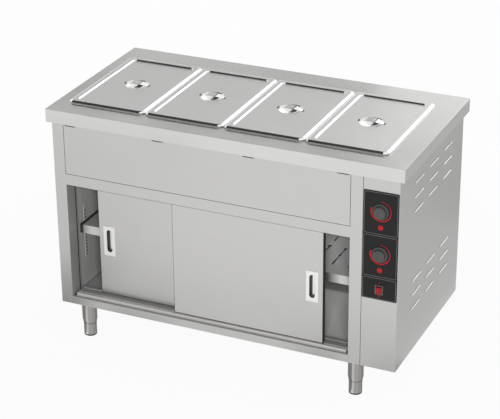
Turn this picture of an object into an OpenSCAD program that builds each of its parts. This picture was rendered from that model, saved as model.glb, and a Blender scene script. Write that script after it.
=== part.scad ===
// Hot cupboard with a four-pan bain-marie top.
// A stainless steel cabinet on four adjustable legs. Two doors slide past each other in front of
// a heated cupboard with one shelf, a well in the worktop takes four lidded food pans, and a
// control column stands at the right. Millimetres, +Z up, floor at Z = 0, doors towards -Y.

/* [Worktop] */
// Width of the worktop
top_w = 1460; // [1440:5:1600]
// Depth of the worktop
top_d = 740; // [700:5:820]
// Height of the worktop above the floor
top_h = 985; // [960:5:1060]
// Height of the turned-down rim
rim_h = 53; // [40:1:65]
// Thickness of the worktop sheet
top_t = 2; // [1.5:0.1:3]

/* [Cabinet] */
// Overhang of the worktop past each side of the cabinet
side_in = 20; // [14:1:24]
// Overhang of the worktop past the front
front_in = 12; // [8:1:18]
// Overhang of the worktop past the back
back_in = 10; // [10:1:20]
// Height of the cabinet's underside above the floor
leg_h = 150; // [140:1:180]
// Thickness of the cabinet sheet
sheet_t = 1.2; // [1:0.1:2]
// Width of each front stile
stile_w = 49; // [40:1:60]
// Width of the control column right of its stile
column_w = 140; // [138:1:160]
// Height of the apron panel below the rim
apron_h = 212; // [205:1:230]
// Height of the header rail over the doors
header_h = 47; // [45:1:60]
// Depth of the header rail's bottom fold
header_lip = 10; // [6:0.5:11]
// Height of the plinth rail under the doors
plinth_h = 32; // [26:1:45]
// Depth of the plinth rail's bottom fold
plinth_lip = 15; // [10:1:25]
// Width of each notch along the apron's top
notch_w = 45; // [30:1:60]
// Height of each notch
notch_h = 3; // [2.5:0.5:5]
// Distance of the notches below the rim
notch_drop = 7; // [5:0.5:12]
// Number of notches
notch_n = 4; // [2:1:6]

/* [Pans and well] */
// Gap between neighbouring pan flanges
pan_gap = 4; // [2:0.5:6]
// Distance of the first pan from the worktop's left edge
pan_left = 51; // [40:1:60]
// Distance of the last pan from the worktop's right edge
pan_right = 97; // [80:1:140]
// Distance of the pans from the worktop's front edge
pan_front = 88; // [80:1:110]
// Distance of the pans from the worktop's back edge
pan_back = 122; // [100:1:150]
// Width of a pan's flange
flange_w = 11; // [9:0.5:12]
// Corner radius of a pan's flange
flange_r = 20; // [14:1:24]
// Corner radius of a pan's tub
tub_r = 40; // [30:1:60]
// Depth of a pan
pan_depth = 150; // [65:1:160]
// Thickness of the pan sheet
pan_t = 1; // [0.8:0.1:1.2]
// Gap around a tub in the well
tub_clear = 3; // [2:0.5:4]
// Thickness of the upright web under a pan bar
bar_web_t = 3; // [2:0.5:4]
// Height of that web
bar_web_h = 18; // [10:1:24]
// Depth of the well tank
tank_depth = 190; // [180:1:195]
// Width of the well tank's top flange
tank_flange = 14; // [8:1:16]

/* [Lids] */
// Height of a lid's raised rim above the pan flange
lid_h = 13; // [11:0.5:16]
// Thickness of the lid sheet
lid_t = 1; // [0.8:0.1:1.2]
// Width of the lid's raised rim
lid_rim = 27; // [20:1:35]
// Depth of the lid's sunken panel below its rim
lid_sink = 8; // [6:0.5:9]
// Radius of the finger dish in the lid
dish_r = 47; // [40:1:55]
// Radius of the dish's flat floor
dish_floor_r = 28; // [20:1:32]
// Depth of the dish
dish_depth = 16; // [12:1:22]
// Width of the strap handle
strap_w = 40; // [32:1:44]
// Thickness of the strap handle
strap_t = 2; // [1.5:0.1:2.5]
// Rise of the strap above the lid panel
strap_rise = 8.5; // [6:0.5:10]
// Length of a strap's sloping end
strap_run = 28; // [20:1:34]
// Length of each welded strap foot
strap_foot = 10; // [8:1:14]

/* [Doors] */
// Overlap of the two doors when both are closed
door_overlap = 68; // [40:1:90]
// Thickness of a door
door_t = 25; // [24:0.5:32]
// Thickness of a door's sheet
skin_t = 1.2; // [0.8:0.1:1.5]
// Distance of the front door behind the cabinet's face
door_front_gap = 13; // [12.5:0.5:18]
// Gap between the front door and the rear door
door_gap = 12; // [8:0.5:20]
// Gap between a closed door and the jamb
door_side_gap = 2; // [1:0.5:4]
// Height of a door's bottom above the cupboard floor
door_lift = 19; // [17:0.5:24]
// Distance that each door stands open
door_open = 107; // [0:1:400]
// Room between the rear door and the back of the jamb
jamb_back = 3; // [2:0.5:6]

/* [Door pulls] */
// Width of a pull plate
pull_w = 50; // [44:1:56]
// Height of a pull plate
pull_h = 128; // [120:1:140]
// Thickness of a pull plate
pull_t = 1.5; // [1:0.1:2.5]
// Distance of a pull plate from the door's edge
pull_edge = 18; // [12:1:30]
// Distance of the pull's middle below the door's middle
pull_drop = 8; // [0:1:30]
// Width of the finger cup
cup_w = 22; // [18:0.5:30]
// Height of the finger cup
cup_h = 96; // [80:1:110]
// Depth of the finger cup
cup_d = 18; // [14:0.5:20]
// Wall of the finger cup
cup_wall = 1.2; // [0.8:0.1:1.5]
// Gap around the cup in the door sheet
cup_clear = 0.5; // [0.3:0.1:1]

/* [Door running gear] */
// Thickness of the track section
track_t = 3; // [2:0.1:3.5]
// Height of the track section
track_h = 30; // [30:0.5:32]
// Radius of a hanger wheel
wheel_r = 9.7; // [8:0.1:10]
// Width of a hanger wheel
wheel_w = 10; // [8:0.5:11]
// Radius of a wheel's axle
axle_r = 4; // [3:0.1:5]
// Distance of a wheel's middle in front of its door's middle
wheel_off = 2.5; // [1:0.5:4]
// Margin of the track's ledge beside a wheel
ledge_margin = 1; // [0.5:0.5:2]
// Running gap between wheel and axle
axle_fit = 0.05; // [0.03:0.01:0.1]
// Gap between wheel and track
wheel_clear = 0.3; // [0.2:0.05:0.6]
// Thickness of a hanger plate
hanger_t = 3; // [2:0.1:4]
// Width of a hanger plate
hanger_w = 40; // [30:1:60]
// Distance of each hanger from its door's edge
hanger_in = 70; // [50:1:150]
// Gap between the track's ledge and a hanger, behind it and below it
hanger_gap = 2; // [1:0.1:3]
// Height of the floor guide
guide_h = 13; // [11:0.5:15]
// Width of the floor guide's bead in front of its first groove
guide_bead = 10; // [8:0.5:12]
// Gap between the floor guide's ends and the jambs
guide_end = 12; // [2:0.5:20]
// Width of a guide groove
groove_w = 6; // [5:0.5:8]
// Depth of a guide groove
groove_d = 10; // [8:0.5:10]
// Thickness of a door's guide tongue
tongue_t = 3; // [2:0.1:4]
// Gap between a tongue's tip and the groove's floor
tongue_clear = 4; // [2:0.5:6]

/* [Shelf] */
// Height of the shelf's top above the cupboard floor
shelf_z = 285; // [220:1:330]
// Height of the shelf's front and rear lips
shelf_lip = 36; // [20:1:45]
// Gap between the shelf and each side wall
shelf_side_gap = 12; // [8:0.5:16]
// Gap between the jamb and the shelf's front
shelf_front_gap = 5; // [3:0.5:12]
// Gap between the shelf and the rear panel
shelf_back_gap = 40; // [30:1:60]
// Length of a shelf slot
slot_l = 147; // [80:1:148]
// Width of a shelf slot
slot_w = 8; // [4:0.5:9]
// Radius of the round hole at a slot's back end
slot_r = 7.5; // [6:0.5:10]
// Distance from slot to slot
slot_pitch = 66; // [50:1:90]
// Distance of the first row of slots from the shelf's front
slot_front = 70; // [60:1:120]
// Distance from one row of slots to the next
slot_row = 190; // [160:1:210]
// Number of rows of slots
slot_rows = 2; // [1:1:2]
// Width of a support strip
strip_w = 23; // [20:1:30]
// Length of a support strip
strip_l = 229; // [200:1:260]
// Thickness of a support strip
strip_t = 2; // [1.5:0.1:3]
// Height of the strip's foot above the cupboard floor
strip_z = 125; // [80:1:140]
// Distance of the strips behind the jamb and in front of the shelf's rear edge
strip_in = 40; // [30:1:60]
// Distance from hole to hole along a strip
hole_pitch = 15; // [12:0.1:20]
// Width of a strip hole
hole_w = 12; // [8:0.5:14]
// Height of a strip hole
hole_h = 6; // [4:0.5:8]
// Reach of a shelf clip under the shelf
clip_reach = 14; // [8:1:20]
// Thickness of a shelf clip
clip_t = 3; // [2:0.1:4]
// Height of a shelf clip's back
clip_h = 24; // [16:1:32]

/* [Legs] */
// Distance of the left legs from the cabinet's left side
leg_left = 96; // [60:1:140]
// Distance of the right legs from the cabinet's right side
leg_right = 173; // [140:1:240]
// Gap between a leg and the folded edges of the cabinet's front
leg_gap = 2; // [1:0.5:40]
// Outer radius of a leg sleeve
sleeve_r = 30; // [29:0.5:32]
// Wall of a leg sleeve's narrow nose
nose_wall = 1.2; // [1:0.1:2]
// Length of the narrow nose
nose_h = 4; // [3:0.5:8]
// Length of the taper from the sleeve to its nose
taper_h = 9; // [6:0.5:15]
// Length of a leg sleeve below the cabinet's underside
sleeve_l = 92; // [85:1:115]
// Radius of an adjustable foot
foot_r = 26; // [22:0.5:26.5]
// Sliding gap between foot and sleeve
foot_fit = 0.1; // [0.05:0.01:0.1]
// Length of the foot that stays inside its sleeve
foot_in = 55; // [45:1:65]
// Wall of a foot
foot_wall = 2; // [1.5:0.1:4]
// Width of a leg's mounting plate
plate_w = 80; // [66:1:84]
// Thickness of a leg's mounting plate
plate_t = 3; // [2:0.5:5]

/* [Controls] */
// Width of the control fascia
fascia_w = 136; // [120:1:137]
// Thickness of the control fascia
fascia_t = 3; // [2:0.1:4]
// Distance of the fascia's top below the rim
fascia_drop = 53; // [30:1:80]
// Height of each thermostat field on the fascia
field_h = 172; // [160:1:190]
// Height of the switch field
switch_field_h = 92; // [80:1:110]
// Width of the raised frame around each field
frame_w = 4; // [3:0.5:6]
// Height of the raised frame
frame_t = 1.5; // [0.5:0.1:2.5]
// Distance of the window's edge inside the fascia's edge
window_in = 10; // [6:0.5:14]
// Distance of a knob below the top of its field
knob_drop = 78; // [60:1:90]
// Radius of a knob's skirt
knob_skirt_r = 31; // [28:0.5:34]
// Radius of a knob's grip
knob_grip_r = 24; // [18:0.5:26]
// Height of a knob's skirt
knob_skirt_h = 6; // [4:0.5:8]
// Distance that a knob stands out from the fascia
knob_out = 20; // [18:0.5:25]
// Gap between knob and fascia
knob_gap = 0.5; // [0.3:0.1:0.9]
// Radius of a knob's spindle
spindle_r = 3; // [2.5:0.1:4]
// Length of the spindle behind the fascia
spindle_l = 18; // [12:1:24]
// Running gap between spindle and thermostat
spindle_fit = 0.05; // [0.03:0.01:0.1]
// Gap around the spindle in the fascia
spindle_clear = 0.5; // [0.4:0.1:1]
// Width of a thermostat body
stat_w = 46; // [40:1:54]
// Depth of a thermostat body
stat_d = 38; // [30:1:50]
// Distance of a pilot lamp below the top of its field
lamp_drop = 142; // [138:1:146]
// Radius of a pilot lamp
lamp_r = 10; // [8:0.5:13]
// Width of a pilot lamp's lip over the fascia
lamp_lip = 2; // [1:0.5:3]
// Gap around a lamp's barrel in the fascia
lamp_clear = 0.2; // [0.1:0.1:0.5]
// Height of a pilot lamp's lens
lamp_out = 4; // [2:0.5:5]
// Length of a pilot lamp behind the fascia
lamp_d = 20; // [12:1:30]
// Distance of the switch below the top of its field
switch_drop = 50; // [40:1:54]
// Width of the switch bezel
bezel_w = 32; // [30:0.5:36]
// Height of the switch bezel
bezel_h = 38; // [37:0.5:42]
// Height of the bezel above the fascia
bezel_out = 3; // [2:0.5:4]
// Width of the bezel's lip over the fascia
bezel_lip = 2; // [1.5:0.5:3]
// Depth of the switch body behind the fascia
switch_d = 22; // [18:1:30]
// Width of the rocker
rocker_w = 22; // [18:0.5:24]
// Height of the rocker
rocker_h = 28; // [24:0.5:29]
// Height of the rocker's ends above the fascia
rocker_out = 8; // [6:0.5:9]
// Depth of the rocker behind the fascia's face
rocker_back = 3; // [2:0.5:5]
// Depth of the hollow between the rocker's two ends
rocker_dip = 3; // [1:0.5:4]
// Tilt of the rocker to each side
rocker_tilt = 7; // [4:0.5:9]
// Gap around the rocker
rocker_gap = 0.6; // [0.4:0.1:1]
// Radius of the rocker's pivot pins
pivot_r = 1.5; // [1:0.1:2]
// Running gap around the pivot pins
pivot_fit = 0.08; // [0.05:0.01:0.1]

/* [Louvres] */
// Length of a louvre
louvre_l = 96; // [70:1:130]
// Height of a louvre
louvre_h = 7; // [5:0.5:10]
// Wall of a louvre's hood
louvre_t = 1.5; // [1:0.1:2]
// Number of louvres along and down each field
louvre_n = 3; // [2:1:4]
// Distance between louvres along the panel
louvre_pitch_y = 162; // [140:1:170]
// Distance between louvres down the panel
louvre_pitch_z = 59; // [40:1:70]
// Distance of the fields' middle behind the cabinet's face
louvre_back = 370; // [340:1:380]
// Distance of the upper field's middle below the worktop
louvre_upper = 185; // [175:1:230]
// Distance of the lower field's middle below the worktop
louvre_lower = 590; // [500:1:650]

/* [Heating and services] */
// Radius of the heating element tube
element_r = 4; // [3:0.1:5]
// Distance between the two runs of the well element
well_run = 220; // [120:1:300]
// Distance of the well element inside the ends of the tank
well_run_in = 66; // [40:1:120]
// Distance between the two runs of the cupboard element
cupboard_run = 34; // [20:1:60]
// Distance of the cupboard element's bend from the left wall
cupboard_run_in = 341; // [60:1:500]
// Height of the cupboard element's lower run above the floor sheet
cupboard_run_z = 30; // [20:1:60]
// Distance of the cupboard element in front of the rear panel
cupboard_run_y = 12; // [8:1:24]
// Gap between an element and the sheet that it heats
element_gap = 0.3; // [0.2:0.1:0.8]
// Radius of the cable gland's body
gland_r = 13; // [10:0.5:16]
// Radius of the hole through the gland
gland_bore = 6; // [4:0.5:8]
// Distance that the gland stands out of the rear panel
gland_out = 9; // [6:0.5:10]
// Height of the gland above the cabinet's underside
gland_z = 90; // [70:1:200]
// Radius of a rear panel screw's head
screw_r = 5; // [4:0.5:7]
// Height of a screw's head
screw_h = 2.5; // [1.5:0.5:4]
// Distance of the screws from the rear panel's edge
screw_in = 22; // [14:1:40]
// Number of screws along the top and the bottom
screw_n = 6; // [3:1:9]

/* [Hidden] */
$fn = 64;
// Pans side by side in the well, as many as the pan nodes
pan_n = 4;
// Overshoot of a cut past the face that it opens
cut = 1;

// The knobs are the one thing that stands out past the worktop, so they set the overall depth
knob_over = max(0, fascia_t + knob_out - front_in);
top_y = [-(top_d + knob_over) / 2 + knob_over, (top_d + knob_over) / 2];
top_x = [-top_w / 2, top_w / 2];
under_z = top_h - top_t;
rim_z = top_h - rim_h;

// Cabinet faces
body_x = [top_x[0] + side_in, top_x[1] - side_in];
body_y = [top_y[0] + front_in, top_y[1] - back_in];
inner_y = [body_y[0] + sheet_t, body_y[1] - sheet_t];
inner_x = [body_x[0] + sheet_t, body_x[1] - sheet_t];

// Cupboard opening between the stiles
open_x = [body_x[0] + stile_w, body_x[1] - column_w - stile_w];
floor_z = leg_h + plinth_h;
ceiling_z = rim_z - apron_h;
open_z = [floor_z, ceiling_z - header_h];

// Pans, bars and well: the pans fill the worktop between its margins, 325 by 530 at full size
gn_w = (top_w - pan_left - pan_right - (pan_n - 1) * pan_gap) / pan_n;
gn_l = top_d - pan_front - pan_back;
pan_pitch = gn_w + pan_gap;
tub_w = gn_w - 2 * flange_w;
tub_l = gn_l - 2 * flange_w;
bar_w = pan_pitch - tub_w - 2 * tub_clear;
well_w = (pan_n - 1) * pan_pitch + tub_w + 2 * tub_clear;
well_l = tub_l + 2 * tub_clear;
well_x = top_x[0] + pan_left + ((pan_n - 1) * pan_pitch + gn_w) / 2;
well_y = top_y[0] + pan_front + gn_l / 2;
seat_z = top_h + pan_t;
panel_z = lid_h - lid_sink;

// Doors: index 0 is the left door on the rear track, index 1 the right door on the front track
door_w = (open_x[1] - open_x[0] - 2 * door_side_gap + door_overlap) / 2;
track_z = ceiling_z - track_h;
door_z = [floor_z + door_lift, track_z - hanger_gap - hanger_t];
front_door_y = body_y[0] + door_front_gap;
door_y = [front_door_y + door_t + door_gap, front_door_y];
door_mid = [for (y = door_y) y + door_t / 2];
door_x = [open_x[0] + door_side_gap + door_open, open_x[1] - door_side_gap - door_open - door_w];
pull_x = [door_x[0] + pull_edge + pull_w / 2, door_x[1] + door_w - pull_edge - pull_w / 2];
pull_z = (door_z[0] + door_z[1]) / 2 - pull_drop;
jamb_y = door_y[0] + door_t + jamb_back;

// Running gear, measured from the middle of each door's thickness
wheel_z = track_z + track_t + wheel_clear + wheel_r;
wheel_y = -wheel_off - wheel_w / 2;
ledge_y = [wheel_y - ledge_margin, wheel_y + wheel_w + ledge_margin];
hanger_y = ledge_y[1] + hanger_gap;
guide_front = door_front_gap + door_t / 2 - groove_w / 2 - guide_bead;

// Shelf and its supports
shelf_x = [open_x[0] + shelf_side_gap, open_x[1] - shelf_side_gap];
shelf_y = [jamb_y + shelf_front_gap, inner_y[1] - shelf_back_gap];
shelf_top = floor_z + shelf_z;
slot_n = floor((shelf_x[1] - shelf_x[0] - 2 * slot_r) / slot_pitch);
strip_y = [jamb_y + strip_in, shelf_y[1] - strip_in - strip_w];
hole_n = floor((strip_l - hole_h) / hole_pitch);

// Legs
leg_x = [body_x[0] + leg_left, body_x[1] - leg_right];
leg_in = max(plinth_lip + sleeve_r, sheet_t + plate_w / 2) + leg_gap;
leg_y = [body_y[0] + leg_in, body_y[1] - leg_in];
sleeve_z = leg_h - sleeve_l;
plate_z = floor_z - sheet_t - plate_t;

// Controls
lamp_barrel_r = lamp_r - lamp_lip;
fascia_x = body_x[1] - column_w / 2;
fascia_h = 2 * field_h + switch_field_h;
fascia_top = rim_z - fascia_drop;
fascia_y = body_y[0] - fascia_t;
field_top = [fascia_top, fascia_top - field_h, fascia_top - 2 * field_h];
field_size = [field_h, field_h, switch_field_h];
switch_z = field_top[2] - switch_drop;
switch_half = [bezel_w / 2 - bezel_lip, bezel_h / 2 - bezel_lip];
rocker_room = rocker_h / 2 * cos(rocker_tilt) + rocker_out * sin(rocker_tilt) + rocker_gap;

// Heating
tank_z = under_z - tank_depth;
well_run_l = well_w - 2 * well_run_in - well_run / 2 - element_r;
cupboard_run_l = open_x[1] - open_x[0] - cupboard_run_in - cupboard_run / 2 - element_r;

// Block between two corners, each axis given as [low, high]
module span(x, y, z) {
    translate([x[0], y[0], z[0]])
        cube([x[1] - x[0], y[1] - y[0], z[1] - z[0]]);
}

// Rectangle with round corners, centred
module rounded(w, l, r) {
    square([w - 2 * r, l], center = true);
    square([w, l - 2 * r], center = true);
    for (sx = [-1, 1], sy = [-1, 1])
        translate([sx * (w / 2 - r), sy * (l / 2 - r)])
            circle(r);
}

// Prism on a rounded rectangle from z low to z high
module slab(w, l, r, z) {
    translate([0, 0, z[0]])
        linear_extrude(z[1] - z[0])
            rounded(w, l, r);
}

// Round bar along Y from y low to y high
module bar_y(r, y) {
    translate([0, y[0], 0])
        rotate([-90, 0, 0])
            cylinder(r = r, h = y[1] - y[0]);
}

// Profile drawn in the Y-Z plane and drawn out along X
module along_x(x) {
    translate([x[0], 0, 0])
        rotate([90, 0, 90])
            linear_extrude(x[1] - x[0])
                children();
}

// Moves its children to pan place i, at the level of the pan's seat
module at_pan(i) {
    translate([well_x + (i - (pan_n - 1) / 2) * pan_pitch, well_y, seat_z])
        children();
}

// Worktop: a folded sheet with a deep rim and one long cut-out over the well
module worktop() {
    color([0.78, 0.78, 0.77])
        difference() {
            span(top_x, top_y, [rim_z, top_h]);
            span([top_x[0] + top_t, top_x[1] - top_t], [top_y[0] + top_t, top_y[1] - top_t],
                 [rim_z - cut, under_z]);
            translate([well_x, well_y, 0])
                span([-well_w / 2, well_w / 2], [-well_l / 2, well_l / 2], [rim_z, top_h + cut]);
        }
}

// Well tank: an open box hung from the worktop's underside by its flange
module well_tank() {
    outer = [well_w / 2 + sheet_t, well_l / 2 + sheet_t];
    rim = [outer[0] + tank_flange, outer[1] + tank_flange];
    color([0.66, 0.66, 0.66])
        translate([well_x, well_y, 0])
            difference() {
                union() {
                    span([-outer[0], outer[0]], [-outer[1], outer[1]], [tank_z, under_z]);
                    span([-rim[0], rim[0]], [-rim[1], rim[1]], [under_z - sheet_t, under_z]);
                }
                span([-well_w / 2, well_w / 2], [-well_l / 2, well_l / 2],
                     [tank_z + sheet_t, under_z + cut]);
            }
}

// Pan bars: T sections across the cut-out that carry the long flanges of neighbouring pans
module pan_bars() {
    color([0.72, 0.72, 0.72])
        for (i = [0 : pan_n - 2])
            translate([well_x + (i + 1 - pan_n / 2) * pan_pitch, well_y, 0])
                union() {
                    span([-bar_w / 2, bar_w / 2], [-well_l / 2, well_l / 2], [under_z, top_h]);
                    span([-bar_web_t / 2, bar_web_t / 2], [-well_l / 2, well_l / 2],
                         [under_z - bar_web_h, under_z]);
                }
}

// Food pan: a deep tub under a flat flange
module gn_pan(i) {
    color([0.75, 0.75, 0.75])
        at_pan(i)
            difference() {
                union() {
                    slab(gn_w, gn_l, flange_r, [-pan_t, 0]);
                    slab(tub_w, tub_l, tub_r, [-pan_depth, 0]);
                }
                slab(tub_w - 2 * pan_t, tub_l - 2 * pan_t, tub_r - pan_t, [pan_t - pan_depth, cut]);
            }
}

// Pan lid: raised rim with a turned-down skirt, sunken panel and a round finger dish
module gn_lid(i) {
    well_in = 2 * lid_rim;
    wall_in = well_in + 2 * lid_t;
    sink_r = flange_r - lid_t;
    color([0.80, 0.80, 0.79])
        at_pan(i)
            difference() {
                union() {
                    difference() {
                        slab(gn_w, gn_l, flange_r, [0, lid_h]);
                        slab(gn_w - 2 * lid_t, gn_l - 2 * lid_t, flange_r - lid_t, [-cut, lid_h - lid_t]);
                    }
                    slab(gn_w - well_in, gn_l - well_in, flange_r, [panel_z - lid_t, lid_h]);
                    dish_shell(lid_t);
                }
                slab(gn_w - wall_in, gn_l - wall_in, sink_r, [panel_z, lid_h + cut]);
                dish_shell(0);
            }
}

// Bowl of the finger dish, grown outwards by a wall
module dish_shell(wall) {
    low = panel_z - dish_depth;
    rotate_extrude()
        polygon([
            [0, low - wall], [dish_floor_r + wall / 2, low - wall], [dish_r + wall, panel_z - wall],
            [dish_r + wall, panel_z], [0, panel_z]
        ]);
}

// Lid handle: a flat strap that bridges the finger dish, spot-welded at both ends
module lid_handle(i) {
    inner = dish_r + 2 * lid_t;
    outer = inner + strap_foot;
    flat = inner - strap_run;
    top = panel_z + strap_rise;
    color([0.85, 0.85, 0.85])
        at_pan(i)
            translate([0, strap_w / 2, 0])
                rotate([90, 0, 0])
                    linear_extrude(strap_w)
                        polygon([
                            [-outer, panel_z], [-inner, panel_z], [-flat, top], [flat, top],
                            [inner, panel_z], [outer, panel_z], [outer, panel_z + strap_t],
                            [inner, panel_z + strap_t], [flat, top + strap_t],
                            [-flat, top + strap_t], [-inner, panel_z + strap_t],
                            [-outer, panel_z + strap_t]
                        ]);
}

// Left side panel, behind the left stile
module side_left() {
    color([0.74, 0.74, 0.73])
        span([body_x[0], inner_x[0]], [inner_y[0], body_y[1]], [leg_h, under_z]);
}

// Right side panel, with two fields of pressed louvres
module side_right() {
    color([0.70, 0.70, 0.70])
        difference() {
            union() {
                span([inner_x[1], body_x[1]], [inner_y[0], body_y[1]], [leg_h, under_z]);
                at_louvres()
                    louvre_hood();
            }
            at_louvres()
                louvre_mouth();
        }
}

// Places its children at every louvre, on the panel's outer face
module at_louvres() {
    middle = (louvre_n - 1) / 2;
    for (drop = [louvre_upper, louvre_lower], i = [0 : louvre_n - 1], j = [0 : louvre_n - 1])
        translate([body_x[1], body_y[0] + louvre_back + (i - middle) * louvre_pitch_y,
                   top_h - drop + (j - middle) * louvre_pitch_z])
            children();
}

// Quarter of a round bar along Y, between the panel's face and the bar's level
module quarter_round(r, length) {
    intersection() {
        bar_y(r, [0, length]);
        span([0, r], [0, length], [0, r]);
    }
}

// Quarter-round hood, open downwards
module louvre_hood() {
    translate([0, -louvre_l / 2, -louvre_h / 2])
        quarter_round(louvre_h, louvre_l);
}

// Air path of a louvre: the hollow of its hood and the slot behind it
module louvre_mouth() {
    hollow = louvre_h - louvre_t;
    length = louvre_l - 2 * louvre_t;
    translate([0, louvre_t - louvre_l / 2, -louvre_h / 2])
        union() {
            quarter_round(hollow, length);
            span([-sheet_t - cut, 0], [0, length], [0, hollow]);
        }
}

// Rear panel, between the side panels, with the hole for the cable gland
module rear_panel() {
    color([0.72, 0.72, 0.72])
        difference() {
            span(inner_x, [inner_y[1], body_y[1]], [leg_h, under_z]);
            translate([fascia_x, 0, leg_h + gland_z])
                bar_y(gland_bore, [inner_y[1] - cut, body_y[1] + cut]);
        }
}

// Cupboard floor, which also carries the leg plates
module cupboard_floor() {
    color([0.66, 0.66, 0.66])
        span(inner_x, inner_y, [floor_z - sheet_t, floor_z]);
}

// Cupboard ceiling under the well
module cupboard_ceiling() {
    color([0.66, 0.66, 0.66])
        span([inner_x[0], open_x[1] + sheet_t], inner_y, [ceiling_z, ceiling_z + sheet_t]);
}

// Left stile: face plate with the left jamb folded back from it
module stile_left() {
    color([0.78, 0.78, 0.77])
        union() {
            span([body_x[0], open_x[0]], [body_y[0], inner_y[0]], [leg_h, under_z]);
            span([open_x[0] - sheet_t, open_x[0]], [body_y[0], jamb_y], [floor_z, ceiling_z]);
        }
}

// Right stile: face plate with the right jamb folded back from it
module stile_right() {
    color([0.78, 0.78, 0.77])
        union() {
            span([open_x[1], open_x[1] + stile_w], [body_y[0], inner_y[0]], [leg_h, under_z]);
            span([open_x[1], open_x[1] + sheet_t], [body_y[0], jamb_y], [floor_z, ceiling_z]);
        }
}

// Apron panel in front of the well, notched along its top
module apron_panel() {
    pitch = (open_x[1] - open_x[0] - 2 * notch_drop - notch_w) / (notch_n - 1);
    color([0.79, 0.79, 0.78])
        difference() {
            span(open_x, [body_y[0], inner_y[0]], [ceiling_z, under_z]);
            for (i = [0 : notch_n - 1])
                translate([open_x[0] + notch_drop + i * pitch, 0, rim_z - notch_drop])
                    span([0, notch_w], [body_y[0] - cut, inner_y[0] + cut], [-notch_h, 0]);
        }
}

// Header rail over the doors, with its bottom edge folded back
module header_rail() {
    color([0.79, 0.79, 0.78])
        union() {
            span(open_x, [body_y[0], inner_y[0]], [open_z[1], ceiling_z]);
            span(open_x, [body_y[0], body_y[0] + header_lip], [open_z[1], open_z[1] + sheet_t]);
        }
}

// Plinth rail under the doors, with its bottom edge folded back
module plinth_rail() {
    color([0.76, 0.76, 0.75])
        union() {
            span(open_x, [body_y[0], inner_y[0]], [leg_h, floor_z]);
            span(open_x, [body_y[0], body_y[0] + plinth_lip], [leg_h, leg_h + sheet_t]);
        }
}

// Front of the control column, with a window behind the fascia
module column_front() {
    half = fascia_w / 2 - window_in;
    color([0.79, 0.79, 0.78])
        difference() {
            span([body_x[1] - column_w, body_x[1]], [body_y[0], inner_y[0]], [leg_h, under_z]);
            span([fascia_x - half, fascia_x + half], [body_y[0] - cut, inner_y[0] + cut],
                 [fascia_top - fascia_h + window_in, fascia_top - window_in]);
        }
}

// Left inner wall of the cupboard
module liner_left() {
    color([0.66, 0.66, 0.66])
        span([open_x[0] - sheet_t, open_x[0]], [jamb_y, inner_y[1]], [floor_z, ceiling_z]);
}

// Right inner wall of the cupboard
module liner_right() {
    color([0.66, 0.66, 0.66])
        span([open_x[1], open_x[1] + sheet_t], [jamb_y, inner_y[1]], [floor_z, ceiling_z]);
}

// Shelf: a sheet with front and rear lips and rows of keyhole air slots
module shelf() {
    first = (shelf_x[0] + shelf_x[1] - (slot_n - 1) * slot_pitch) / 2;
    z = [shelf_top - sheet_t, shelf_top];
    color([0.70, 0.70, 0.70])
        difference() {
            union() {
                span(shelf_x, shelf_y, z);
                span(shelf_x, [shelf_y[0], shelf_y[0] + sheet_t], [shelf_top - shelf_lip, shelf_top]);
                span(shelf_x, [shelf_y[1] - sheet_t, shelf_y[1]], [shelf_top - shelf_lip, shelf_top]);
            }
            for (i = [0 : slot_n - 1], row = [0 : slot_rows - 1])
                translate([first + i * slot_pitch, shelf_y[0] + slot_front + row * slot_row, 0])
                    union() {
                        span([-slot_w / 2, slot_w / 2], [0, slot_l], [z[0] - cut, z[1] + cut]);
                        translate([0, slot_l, z[0] - cut])
                            cylinder(r = slot_r, h = sheet_t + 2 * cut);
                    }
        }
}

// Shelf supports: a punched strip on each wall near front and back, each with its clip
module shelf_supports() {
    color([0.68, 0.68, 0.68])
        for (side = [0, 1], y = strip_y)
            translate([open_x[side], y, 0])
                mirror([side, 0, 0])
                    union() {
                        support_strip();
                        shelf_clip();
                    }
}

// Punched strip that stands on a wall whose face is at X = 0
module support_strip() {
    middle = strip_w / 2;
    difference() {
        span([0, strip_t], [0, strip_w], [floor_z + strip_z, floor_z + strip_z + strip_l]);
        for (i = [0 : hole_n - 1])
            translate([0, middle, floor_z + strip_z + hole_h + i * hole_pitch])
                span([-cut, strip_t + cut], [-hole_w / 2, hole_w / 2], [-hole_h / 2, hole_h / 2]);
    }
}

// Bent clip that hooks on the strip and carries the shelf's edge
module shelf_clip() {
    top = shelf_top - sheet_t;
    span([strip_t, strip_t + clip_t], [0, strip_w], [top - clip_h, top]);
    span([strip_t, shelf_side_gap + clip_reach], [0, strip_w], [top - clip_t, top]);
}

// Door track: two C sections side by side under one top plate
module door_track() {
    color([0.60, 0.60, 0.60])
        union() {
            for (y = door_mid) {
                span(open_x, [y + ledge_y[0], y + ledge_y[1]], [track_z, track_z + track_t]);
                span(open_x, [y + ledge_y[0] - track_t, y + ledge_y[0]], [track_z, ceiling_z]);
            }
            span(open_x, [door_mid[1] + ledge_y[0] - track_t, door_mid[0] + hanger_y + hanger_t],
                 [ceiling_z - track_t, ceiling_z]);
        }
}

// Floor guide: a rounded front bead and one groove for each door's tongue
module door_guide() {
    x = [open_x[0] + guide_end, open_x[1] - guide_end];
    front = body_y[0] + guide_front;
    bead_r = guide_bead / 2;
    top = floor_z + guide_h;
    color([0.72, 0.72, 0.72])
        difference() {
            union() {
                span(x, [front + bead_r, jamb_y], [floor_z, top]);
                span(x, [front, front + bead_r], [floor_z, top - bead_r]);
                along_x(x)
                    translate([front + bead_r, top - bead_r])
                        circle(bead_r);
            }
            for (y = door_mid)
                span([x[0] - cut, x[1] + cut], [y - groove_w / 2, y + groove_w / 2],
                     [top - groove_d, top + cut]);
        }
}

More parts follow.
